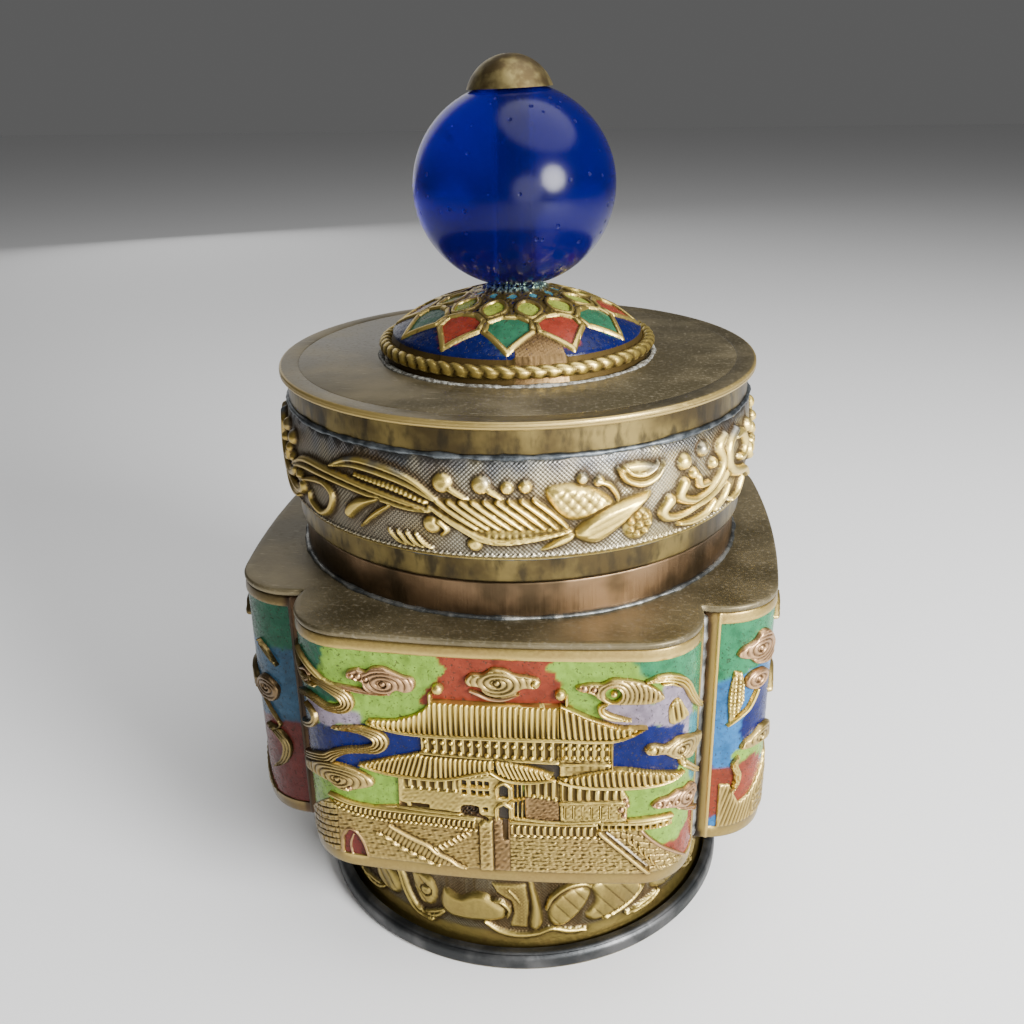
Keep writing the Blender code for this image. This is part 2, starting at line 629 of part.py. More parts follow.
def add_cap():
    crown = (CAP_RADIUS ** 2 + CAP_HEIGHT ** 2) / (2 * CAP_HEIGHT)
    steps = 4
    outer = []
    inner = []
    for k in range(steps + 1):
        reach = CAP_RADIUS * math.sin(math.pi / 2 * k / steps)
        height = cap_rim() + CAP_HEIGHT - crown + math.sqrt(crown ** 2 - reach ** 2)
        outer.append((reach, height))
        inner.append((reach * (1.0 - CAP_WALL / CAP_RADIUS), max(height - CAP_WALL, cap_rim())))
    cap = add_turned("finial_cap", outer + inner[::-1], brass, 20, closed=False)
    cap.location.z = BEAD_CENTRE * MM
    cap.rotation_euler.y = CAP_SLIP
    return cap


clear_scene()
caddy = make_collection("tea_caddy")
brass = make_material("aged brass", (0.36, 0.27, 0.12), 0.42, 1.0)
plate_brass = make_material("dusty brass plate", (0.22, 0.17, 0.10), 0.55, 1.0)
copper = make_material("brushed copper", (0.42, 0.22, 0.12), 0.38, 1.0)
pewter = make_material("dark pewter", (0.12, 0.13, 0.14), 0.4, 1.0)
solder = make_material("grey solder", (0.32, 0.33, 0.33), 0.5, 1.0)
enamel = make_material("opaque enamel", (0.24, 0.42, 0.12), 0.3, 0.0)
glass = make_material("cobalt glass", (0.01, 0.03, 0.42), 0.05, 0.0)

add_turned("base_plate", base_plate_profile(), plate_brass, closed=False)
add_turned("foot_ring", foot_ring_profile(), pewter)
add_foot_band()
floor_outline = lobed_plan(PANEL_THICKNESS + FLOOR_CLEARANCE)
add_flat_plate("bottom_plate", [floor_outline], BODY_FOOT + GAP, PLATE_THICKNESS, plate_brass)
add_panel("panel_front", 0, gate_tower, 1300)
add_panel("panel_right", 1, pagoda_hill, 560)
add_panel("panel_back", 2, gate_tower, 600)
add_panel("panel_left", 3, pagoda_hill, 560)
add_seam_rods()
hole = circle_plan(NECK_OPENING, TURNED_SEGMENTS)
add_flat_plate("top_plate", [lobed_plan(0.0), hole], BODY_TOP - PLATE_THICKNESS, PLATE_THICKNESS, plate_brass)

neck_foot = BODY_TOP + GAP
sleeve_top = COLLAR_TOP + SLEEVE_HEIGHT
neck = [(NECK_OPENING, sleeve_top), (SLEEVE_RADIUS, sleeve_top), (SLEEVE_RADIUS, COLLAR_TOP),
        (NECK_RADIUS, COLLAR_TOP), (NECK_RADIUS, neck_foot), (NECK_OPENING, neck_foot)]
add_turned("neck_ring", neck, copper)

lower_band = ring_profile(LID_BAND_RADIUS, SLEEVE_RADIUS + LID_CLEARANCE, LOWER_BAND_TOP, COLLAR_TOP + GAP)
add_turned("lid_lower_band", lower_band, brass)
add_embossed_band()
upper_radius = LID_BAND_RADIUS + UPPER_BAND_PROUD
upper_band = ring_profile(upper_radius, upper_radius - UPPER_BAND_WALL, UPPER_BAND_TOP, EMBOSSED_TOP + GAP)
add_turned("lid_upper_band", upper_band, brass)
add_turned("lid_disc", lid_disc_profile(), plate_brass)
add_dome()
add_turned("glass_bead", bead_profile(), glass, 28)
add_turned("finial_stem", stem_profile(), brass, 16, closed=False)
add_cap()
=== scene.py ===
import math

import bmesh
import bpy
import numpy as np
from mathutils import Matrix, Vector


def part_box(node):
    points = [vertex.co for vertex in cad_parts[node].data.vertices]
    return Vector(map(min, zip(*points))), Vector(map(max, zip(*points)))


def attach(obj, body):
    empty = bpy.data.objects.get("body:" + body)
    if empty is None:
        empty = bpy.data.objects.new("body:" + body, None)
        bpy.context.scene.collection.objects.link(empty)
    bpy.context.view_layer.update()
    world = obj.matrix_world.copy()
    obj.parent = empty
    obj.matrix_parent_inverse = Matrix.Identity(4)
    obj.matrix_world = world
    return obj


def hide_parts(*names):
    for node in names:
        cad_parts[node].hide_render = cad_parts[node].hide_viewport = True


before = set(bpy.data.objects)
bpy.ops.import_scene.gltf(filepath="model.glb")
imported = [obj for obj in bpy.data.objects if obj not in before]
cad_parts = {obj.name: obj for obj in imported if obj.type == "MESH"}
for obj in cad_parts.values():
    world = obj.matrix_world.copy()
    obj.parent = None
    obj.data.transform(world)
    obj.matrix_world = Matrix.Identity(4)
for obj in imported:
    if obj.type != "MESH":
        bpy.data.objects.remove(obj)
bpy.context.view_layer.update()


# Base plate, and the floor inside the body
# The foot is closed underneath by a thin brass disc that is soldered on. A lobed plate of the same sheet
# lies inside the panels as the caddy's floor. Both are plain, brown and dusty.

MM = 0.001
# further out than any point of the caddy
BEYOND = 99.0
BASE_INSET = 0.2


def measures(node):
    """A solid's lowest and highest corners, in millimetres."""
    low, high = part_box(node)
    return low / MM, high / MM


def finished(name, work, sharp=40.0):
    """Close a bmesh into an object with its faces outwards, smooth between its sharp edges."""
    bmesh.ops.remove_doubles(work, verts=work.verts, dist=1e-7)
    bmesh.ops.recalc_face_normals(work, faces=work.faces)
    mesh = bpy.data.meshes.new(name)
    work.to_mesh(mesh)
    work.free()
    mesh.shade_smooth()
    mesh.set_sharp_from_angle(angle=math.radians(sharp))
    piece = bpy.data.objects.new(name, mesh)
    bpy.context.scene.collection.objects.link(piece)
    return piece


def eased(corners):
    """A profile whose corners, each (radius, height, rounding) in millimetres, are rounded over."""
    profile = []
    for k, (radius, height, rounding) in enumerate(corners):
        corner = Vector((radius, height))
        if rounding == 0.0:
            profile.append(corner)
            continue
        to_last = (Vector(corners[k - 1][:2]) - corner).normalized() * rounding
        to_next = (Vector(corners[(k + 1) % len(corners)][:2]) - corner).normalized() * rounding
        profile.append(corner + 1.6 * to_last)
        for share in (0.0, 0.25, 0.5, 0.75, 1.0):
            profile.append(corner + (1.0 - share) ** 2 * to_last + share ** 2 * to_next)
        profile.append(corner + 1.6 * to_next)
    return profile


def turned(name, profile, steps=192, closed=True):
    """Turn a profile of (radius, height) points, in millimetres, about the caddy's axis."""
    work = bmesh.new()
    points = [work.verts.new((radius * MM, 0.0, height * MM)) for radius, height in profile]
    edges = [work.edges.new(pair) for pair in zip(points, points[1:])]
    if closed:
        edges.append(work.edges.new((points[-1], points[0])))
    bmesh.ops.spin(work, geom=points + edges, cent=(0, 0, 0), axis=(0, 0, 1), angle=math.tau, steps=steps,
                   use_merge=True)
    return finished(name, work)


class Link:
    """A value in a material. Arithmetic on it adds Math nodes."""

    def __init__(self, finish, socket):
        self.finish = finish
        self.socket = socket

    def maths(self, operation, first, second=0.0):
        return self.finish.add("Math", {"operation": operation}, {0: first, 1: second})

    def __add__(self, other):
        return self.maths("ADD", self, other)

    def __sub__(self, other):
        return self.maths("SUBTRACT", self, other)

    def __rsub__(self, other):
        return self.maths("SUBTRACT", other, self)

    def __mul__(self, other):
        return self.maths("MULTIPLY", self, other)

    __radd__ = __add__
    __rmul__ = __mul__


class Finish:
    """A material in the making: a shader, the nodes that feed it and the place on the caddy."""

    def __init__(self, name, slot):
        self.material = bpy.data.materials.new(name)
        self.material.use_nodes = True
        self.tree = self.material.node_tree
        self.shader = self.tree.nodes["Principled BSDF"]
        self.slot = slot
        self.place = self.add("TexCoord", out="Object")

    def feed(self, socket, value):
        if isinstance(value, Link):
            self.tree.links.new(value.socket, socket)
        elif socket.type == "RGBA" and len(value) == 3:
            socket.default_value = (*value, 1.0)
        else:
            socket.default_value = value

    def add(self, kind, settings=None, inputs=None, out=0):
        """Add a node with its settings, then the values or links of its sockets."""
        node = self.tree.nodes.new("ShaderNode" + kind)
        for name, value in (settings or {}).items():
            setattr(node, name, value)
        for name, value in (inputs or {}).items():
            self.feed(node.inputs[name], value)
        return Link(self, node.outputs[out])

    def shade(self, **sockets):
        """Feed the shader's sockets, named with _ for a space."""
        for name, value in sockets.items():
            self.feed(self.shader.inputs[name.replace("_", " ")], value)

    def stretched(self, grain, stretch=(1.0, 1.0, 1.0)):
        """The place on the caddy, in grains of a size in millimetres."""
        scale = [share / (grain * MM) for share in stretch]
        return self.add("VectorMath", {"operation": "MULTIPLY"}, {0: self.place, 1: scale})

    def noise(self, grain, detail=3.0, stretch=(1.0, 1.0, 1.0)):
        return self.add("TexNoise", None,
                        {"Vector": self.stretched(grain, stretch), "Scale": 1.0, "Detail": detail})

    def step(self, value, low, high):
        """A soft step from 0 to 1 as a value goes from low to high."""
        return self.add("MapRange", {"interpolation_type": "SMOOTHSTEP"},
                        {"Value": value, "From Min": low, "From Max": high})

    def mix(self, share, first, second):
        return self.add("Mix", {"data_type": "RGBA"}, {0: share, 6: first, 7: second}, out=2)

    def scaled(self, colour, by):
        return self.add("VectorMath", {"operation": "SCALE"}, {0: colour, 3: by})

    def bump(self, height, depth):
        """Tilt the surface by a height between 0 and 1 that stands for a depth in millimetres."""
        return self.add("Bump", None, {"Height": height, "Distance": depth * MM})

    def own(self, name, out="Fac"):
        """One of a carved sheet's own values."""
        return self.add("Attribute", {"attribute_name": name}, out=out)


def fitted(piece, finish, *nodes):
    """Give a piece its finish, fix it to the caddy and let it stand for its solids."""
    piece.data.materials.append(finish.material)
    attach(piece, "root")
    if nodes:
        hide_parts(*nodes)


def refinished(node, finish):
    """Give a solid that stays in view its finish."""
    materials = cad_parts[node].data.materials
    materials.clear()
    materials.append(finish.material)


def dusty_brass(name, rim=BEYOND):
    """Brown brass under a film of dust, with a few fine scratches and a painted golden highlight beyond a
    radius.
    """
    finish = Finish(name, "plate_brass")
    patches = finish.step(finish.noise(11.0, 4.0), 0.38, 0.66)
    dust = finish.step(finish.noise(0.5, 2.0), 0.52, 0.75)
    brown = finish.mix(patches, (0.092, 0.074, 0.037), (0.178, 0.145, 0.08))
    scratch = finish.step(finish.noise(2.4, 2.0, (1.0, 9.0, 1.0)), 0.66, 0.72)
    colour = finish.mix(dust * 0.22, brown, (0.36, 0.32, 0.25))
    colour = finish.mix(scratch * 0.3, colour, (0.5, 0.42, 0.28))
    aside = finish.stretched(1.0, (1.0, 1.0, 0.0))
    reach = finish.add("VectorMath", {"operation": "LENGTH"}, {0: aside}, out=1)
    # Painted highlight: beyond the radius the colour turns golden and the surface glossier.
    edge_highlight = finish.step(reach, rim - 0.35, rim)
    finish.shade(Metallic=0.75, Base_Color=finish.mix(edge_highlight * 0.8, colour, (0.46, 0.33, 0.10)),
                 Roughness=0.4 + dust * 0.2 + patches * 0.06 - edge_highlight * 0.12,
                 Normal=finish.bump(finish.noise(0.6, 3.0), 0.02))
    return finish


plate_finish = dusty_brass("dusty_brass")
base_high = measures("base_plate")[1]
base_rim = base_high.x - BASE_INSET
base = turned("base_disc", eased([
    (0.0, 0.0, 0.0), (base_rim, 0.0, 0.2), (base_rim, base_high.z, 0.2),
    (0.0, base_high.z, 0.0)]), closed=False)
fitted(base, plate_finish, "base_plate")
refinished("bottom_plate", plate_finish)


# Foot ring
# A half-round wire of dark grey white-metal, bent round the foot and soldered to it and to the disc.
# Its solder has run a little over the disc's edge.

ring_high = measures("foot_ring")[1]
RING_WIDTH = 1.6
RING_LIP = 0.45

pewter = Finish("dark_pewter", "pewter")
blotches = pewter.step(pewter.noise(7.0, 5.0), 0.42, 0.62)
grain = pewter.noise(0.4, 3.0)
pewter.shade(Metallic=0.85, Base_Color=pewter.mix(blotches, (0.035, 0.037, 0.038), (0.10, 0.10, 0.10)),
             Roughness=0.34 + grain * 0.16, Normal=pewter.bump(grain, 0.03))

inner = ring_high.x - RING_WIDTH
ring = turned("half_round_ring", eased([
    (inner, ring_high.z, 0.0), (inner + 0.9, ring_high.z, 0.3), (ring_high.x, ring_high.z - 0.7, 0.4),
    (ring_high.x + 0.05, RING_LIP, 0.12), (ring_high.x - 0.15, RING_LIP, 0.0),
    (ring_high.x - 0.15, base_high.z + 0.1, 0.0), (inner, base_high.z + 0.1, 0.0)]))
fitted(ring, pewter, "foot_ring")


# Foot band
# A drum of thin brass sheet, chased from outside with leaves, curled arms and cloud bands over a hatched
# ground. It flares at the foot, where it is soldered to the ring.

BRASS = (0.315, 0.235, 0.062)
SILVERY = (0.25, 0.235, 0.18)
COPPERY = (0.25, 0.15, 0.075)
SCROLL_BRASS = (0.235, 0.17, 0.055)
PUNCHES_ROUND = 366.0
PUNCH_PITCH = 0.56
EDGE_SLOPE = 0.16
WIRE_SLOPE = 0.14
PROUD_HEIGHT = 0.16


def flowing(points, closed=False, steps=6):
    """A smooth curve through points, which may carry a width as their third number."""
    points = np.array(points, float)
    if closed:
        points = np.vstack([points[-1:], points, points[:2]])
    else:
        points = np.vstack([2 * points[0] - points[1], points, 2 * points[-1] - points[-2]])
    before, start = points[:-3, None], points[1:-2, None]
    end, after = points[2:-1, None], points[3:, None]
    share = np.linspace(0.0, 1.0, steps, endpoint=False)[None, :, None]
    curve = 0.5 * (2 * start + (end - before) * share
                   + (2 * before - 5 * start + 4 * end - after) * share ** 2
                   + (3 * start - before - 3 * end + after) * share ** 3)
    curve = curve.reshape(-1, points.shape[1])
    return curve if closed else np.vstack([curve, points[-2:-1]])


def smooth(value):
    value = np.clip(value, 0.0, 1.0)
    return value * value * (3.0 - 2.0 * value)


def ripple(x, y, grain, seed, waves=7):
    """A smooth random field between about -1 and 1, with grains of a size."""
    draw = np.random.default_rng(seed)
    total = np.zeros(np.shape(x))
    for turn, start, pace in zip(*draw.uniform(0.0, 1.0, (3, waves))):
        turn *= math.tau
        pace = (0.6 + 0.9 * pace) * math.tau / grain
        total += np.sin((x * math.cos(turn) + y * math.sin(turn)) * pace + start * math.tau)
    return total / math.sqrt(waves)


def blurred(field, passes):
    for _ in range(passes):
        field = (np.roll(field, 1, 0) + 2 * field + np.roll(field, -1, 0)) / 4
        field = (np.roll(field, 1, 1) + 2 * field + np.roll(field, -1, 1)) / 4
    return field


class Carving:
    """A drawing in millimetres on a sheet: its height, its colour and its matting."""

    def __init__(self, x, y, colour=BRASS):
        self.x = x
        self.y = y
        self.height = np.zeros(x.shape)
        self.colour = np.ones(x.shape + (3,)) * colour
        self.matting = np.zeros(x.shape)
        self.begin(0.0)

    def begin(self, start, side=1.0):
        """Draw from a place along the sheet, mirrored where side is -1."""
        self.start = start
        self.side = side

    def moved(self, points):
        points = np.array(points, float)
        points[:, 0] = self.start + self.side * points[:, 0]
        return points

    def window(self, outline, reach):
        """The points of the sheet that lie round an outline."""
        low = outline[:, :2].min(0) - reach
        high = outline[:, :2].max(0) + reach
        return (self.x > low[0]) & (self.x < high[0]) & (self.y > low[1]) & (self.y < high[1])

    def inside(self, outline):
        """A window, and how deep its points lie inside a closed outline."""
        window = self.window(outline, 0.8)
        x, y = self.x[window], self.y[window]
        nearest = np.full(x.shape, np.inf)
        within = np.zeros(x.shape, bool)
        for (x0, y0), (x1, y1) in zip(outline, np.roll(outline, -1, 0)):
            run_x, run_y = x1 - x0, y1 - y0
            length = run_x ** 2 + run_y ** 2 + 1e-12
            share = np.clip(((x - x0) * run_x + (y - y0) * run_y) / length, 0.0, 1.0)
            nearest = np.minimum(nearest, (x - x0 - share * run_x) ** 2 + (y - y0 - share * run_y) ** 2)
            if y0 != y1:
                within ^= ((y0 > y) != (y1 > y)) & (x < x0 + run_x * (y - y0) / run_y)
        return window, np.sqrt(nearest) * np.where(within, 1.0, -1.0)

    def along(self, path):
        """A window, and its points' offset from a path, the distance along it and its half width there."""
        window = self.window(path, path[:, 2].max() + 0.4)
        x, y = self.x[window], self.y[window]
        nearest = np.full(x.shape, np.inf)
        offset, distance, width = np.zeros(x.shape), np.zeros(x.shape), np.ones(x.shape)
        travelled = 0.0
        for (x0, y0, w0), (x1, y1, w1) in zip(path, path[1:]):
            run_x, run_y = x1 - x0, y1 - y0
            length = math.hypot(run_x, run_y) + 1e-9
            share = np.clip(((x - x0) * run_x + (y - y0) * run_y) / length ** 2, 0.0, 1.0)
            apart = np.hypot(x - x0 - share * run_x, y - y0 - share * run_y)
            closer = apart < nearest
            side = np.where((x - x0) * run_y - (y - y0) * run_x > 0.0, 1.0, -1.0)
            nearest = np.where(closer, apart, nearest)
            offset = np.where(closer, side * apart, offset)
            distance = np.where(closer, travelled + share * length, distance)
            width = np.where(closer, w0 + (w1 - w0) * share, width)
            travelled += length
        return window, offset, distance, np.maximum(width, 0.05)

    def lay(self, window, share, height, colour=None):
        """Cover a share of a window with metal at a height."""
        self.height[window] += share * (height - self.height[window])
        self.matting[window] *= 1.0 - share
        colour = BRASS if colour is None else colour
        self.colour[window] += share[:, None] * (np.array(colour) - self.colour[window])

    def tint(self, share, colour):
        """Colour a share of the whole sheet."""
        self.colour += share[..., None] * (np.array(colour) - self.colour)

    def paint(self, outline, colour, soft=0.35):
        """Run a colour into the ground inside an outline, with a wandering edge."""
        window, depth = self.inside(flowing(self.moved(outline), True))
        wander = 0.2 * ripple(self.x[window], self.y[window], 1.8, len(outline))
        share = smooth(0.5 + (depth + wander) / soft)[:, None]
        self.colour[window] += share * (np.array(colour) - self.colour[window])

    def plate(self, outline, height, pattern=None, bevel=0.3, colour=None, round_outline=False):
        """A raised plate with sloping edges, and a pattern of its own depth and place."""
        outline = self.moved(outline)
        if round_outline:
            outline = flowing(outline, True)
        window, depth = self.inside(outline)
        top = height * np.sqrt(smooth(depth / bevel))
        if pattern is not None:
            top = top + pattern(self.x[window], self.y[window], depth) * smooth(depth / bevel)
        self.lay(window, smooth(0.5 + depth / EDGE_SLOPE), top, colour)

    def wire(self, path, height, colour=None, beads=None):
        """A rounded ridge along a path of (x, y, half width), cut into beads of a length if asked."""
        window, offset, distance, width = self.along(flowing(self.moved(path)))
        share = np.clip(1.0 - (offset / width) ** 2, 0.0, 1.0)
        top = height * np.sqrt(share)
        if beads is not None:
            top = top - 0.5 * height * (0.5 + 0.5 * np.cos(math.tau * distance / beads)) ** 2
        self.lay(window, smooth((width - np.abs(offset)) / WIRE_SLOPE + 0.5), top, colour)

    def ribbon(self, path, strands, height, colour=None):
        """Several wires side by side that draw together where their path narrows."""
        window, offset, distance, width = self.along(flowing(self.moved(path)))
        across = np.clip(offset / width, -1.0, 1.0)
        wires = np.abs(np.sin(0.5 * math.pi * strands * (across + 1.0)))
        top = height * (0.15 + 0.85 * np.sqrt(wires)) * (1.0 - 0.15 * across ** 2)
        self.lay(window, smooth((width - np.abs(offset)) / WIRE_SLOPE + 0.5), top, colour)

    def knob(self, centre, radius, height, colour=None, eye=0.0):
        """A round boss, with a sunk eye if asked."""
        middle = self.moved([centre])
        window = self.window(middle, radius + 0.3)
        apart = np.hypot(self.x[window] - middle[0, 0], self.y[window] - middle[0, 1]) / radius
        top = height * np.sqrt(np.clip(1.0 - apart ** 2, 0.0, 1.0))
        top -= eye * np.clip(1.0 - (apart / 0.45) ** 2, 0, 1)
        self.lay(window, smooth((1.0 - apart) * radius / WIRE_SLOPE + 0.5), top, colour)

    def knobs(self, places, height, colour=None, eye=0.0):
        """Round bosses, each at (x, y, radius)."""
        for x, y, radius in places:
            self.knob((x, y), radius, height, colour, eye)

    def cloud(self, outline, eye, height=0.55, pitch=0.5, colour=None, flat=0.62):
        """A scroll cloud: a rim along its outline, lines round an eye and a boss in the eye."""
        colour = colour or SCROLL_BRASS
        grooves = rings(self.moved([eye])[0], pitch, flat=flat)
        self.plate(outline, height, grooves, 0.35, colour, True)
        self.knob(eye, 0.5, height, colour)

    def opaque(self):
        """The sheet's colour, with a fourth channel of 1."""
        return np.dstack([self.colour, np.ones(self.x.shape)])

    def values(self):
        """The sheet's colour, how far it stands proud, and its matting."""
        spacing = math.hypot(self.x[0, 1] - self.x[0, 0], self.y[0, 1] - self.y[0, 0])
        passes = min(60, 1 + int(2.0 * (0.34 / spacing) ** 2))
        proud = np.clip((self.height - blurred(self.height, passes)) / PROUD_HEIGHT, -1.0, 1.0)
        return {"colour": self.opaque(), "proud": proud, "matting": self.matting}


def sheet(name, outer, inner, wraps, values=None):
    """Close a sheet from rows of points up its face and rows of points down its back."""
    rows = np.concatenate([outer, inner, outer[:1]])
    values = values or {}
    values = {key: np.concatenate([value] + [value[:1]] * (len(inner) + 1)) for key, value in values.items()}
    if wraps:
        rows = np.concatenate([rows, rows[:, :1]], 1)
        values = {key: np.concatenate([value, value[:, :1]], 1) for key, value in values.items()}
    up, across = rows.shape[:2]
    work = bmesh.new()
    bmesh.ops.create_grid(work, x_segments=across - 1, y_segments=up - 1, size=1.0)
    mesh = bpy.data.meshes.new(name)
    work.to_mesh(mesh)
    places = np.empty(up * across * 3)
    mesh.vertices.foreach_get("co", places)
    places = places.reshape(-1, 3)
    order = np.lexsort((places[:, 0].round(6), places[:, 1].round(6)))
    places[order] = rows.reshape(-1, 3) * MM
    mesh.vertices.foreach_set("co", places.ravel())
    for key, value in values.items():
        channels = value.reshape(up * across, -1)
        is_colour = channels.shape[1] == 4
        sorted_values = np.empty(channels.shape)
        sorted_values[order] = channels
        attribute = mesh.attributes.new(key, "FLOAT_COLOR" if is_colour else "FLOAT", "POINT")
        attribute.data.foreach_set("color" if is_colour else "value", sorted_values.ravel())
    work.clear()
    work.from_mesh(mesh)
    bpy.data.meshes.remove(mesh)
    bmesh.ops.remove_doubles(work, verts=work.verts, dist=1e-7)
    if not wraps:
        bmesh.ops.holes_fill(work, edges=[edge for edge in work.edges if edge.is_boundary], sides=0)
    return finished(name, work, 65.0)


def thinned(piece, triangles):
    """Collapse a piece's flattest edges until about a number of triangles is left."""
    dense = piece.data
    dense.calc_loop_triangles()
    modifier = piece.modifiers.new("thin", "DECIMATE")
    modifier.ratio = triangles / len(dense.loop_triangles)
    bpy.context.view_layer.update()
    graph = bpy.context.evaluated_depsgraph_get()
    mesh = bpy.data.meshes.new_from_object(piece.evaluated_get(graph), preserve_all_data_layers=True,
                                           depsgraph=graph)
    piece.modifiers.clear()
    piece.data = mesh
    bpy.data.meshes.remove(dense)
    return piece


def round_rows(radius, turn, height):
    """Points at a turn counted from the front, -Y, towards +X."""
    return np.stack(np.broadcast_arrays(radius * np.sin(turn), -radius * np.cos(turn), height), -1)


def unrolled(columns, rows, low, high, girth):
    """The turns and heights of a sheet round the caddy, and a drawing laid out flat on it."""
    turn, height = np.meshgrid(np.linspace(-math.pi, math.pi, columns, endpoint=False),
                               np.linspace(low, high, rows))
    return turn, height, Carving(turn / math.tau * girth, height)


def punched(finish):
    """A grid of tiny pyramids round the caddy, between 0 and 1."""
    side, front, up = [finish.add("SeparateXYZ", None, {0: finish.place}, out=axis) for axis in range(3)]
    columns = side.maths("COSINE", side.maths("ARCTAN2", side, front) * PUNCHES_ROUND)
    courses = up.maths("COSINE", up * (math.tau / (PUNCH_PITCH * MM)))
    return 0.5 + columns * courses * 0.5


def chased_brass(name):
    """Chased brass, punched on its ground, with grime and painted shade in its hollows and rubbing and a
    painted highlight on its ridges.
    """
    finish = Finish(name, "brass")
    own_colour = finish.own("colour", "Color")
    proud = finish.own("proud")
    grain = finish.noise(0.5, 4.0)
    patches = finish.step(finish.noise(6.0, 3.0), 0.4, 0.65)
    # Ridges brightened by rubbing and a painted highlight; hollows darkened by grime and painted shade.
    rubbed_and_highlit = finish.step(proud + grain * 0.5, 0.1, 0.9)
    sunk = finish.step(proud * -1.0 + grain * 0.5, 0.2, 1.1)
    base = finish.mix(patches * 0.4, own_colour, finish.mix(0.5, own_colour, (0.20, 0.10, 0.04)))
    base = finish.mix(sunk * 0.9, base, (0.042, 0.024, 0.007))
    base = finish.mix(rubbed_and_highlit * 0.7, base, finish.scaled(own_colour, 2.3))
    matting = finish.own("matting")
    punches = punched(finish)
    base = finish.mix((1.0 - punches) * matting * 0.75, base, (0.06, 0.042, 0.022))
    finish.shade(Metallic=0.92, Base_Color=base, Roughness=0.26 + grain * 0.16 + sunk * 0.3,
                 Normal=finish.bump(grain * 0.35 + punches * matting, 0.08))
    return finish


brass_finish = chased_brass("chased_brass")

foot_low, foot_high = measures("foot_band")
FOOT_GIRTH = 182.2
FOOT_RADIUS = 29.0
FOOT_FLARE = 1.0
FOOT_FLARE_HEIGHT = 3.9
SHEET_THICKNESS = 1.0
FOOT_REPEATS = 4
FOOT_SHADE_DIMMING = 0.55
FOOT_PLAIN_HEIGHT = 4.2
FOOT_TRIANGLES = 95000


def foot_face(height):
    """The drum's radius at a height."""
    flare = np.clip((foot_low.z + FOOT_FLARE_HEIGHT - height) / FOOT_FLARE_HEIGHT, 0.0, 1.0)
    return FOOT_RADIUS + FOOT_FLARE * flare ** 2


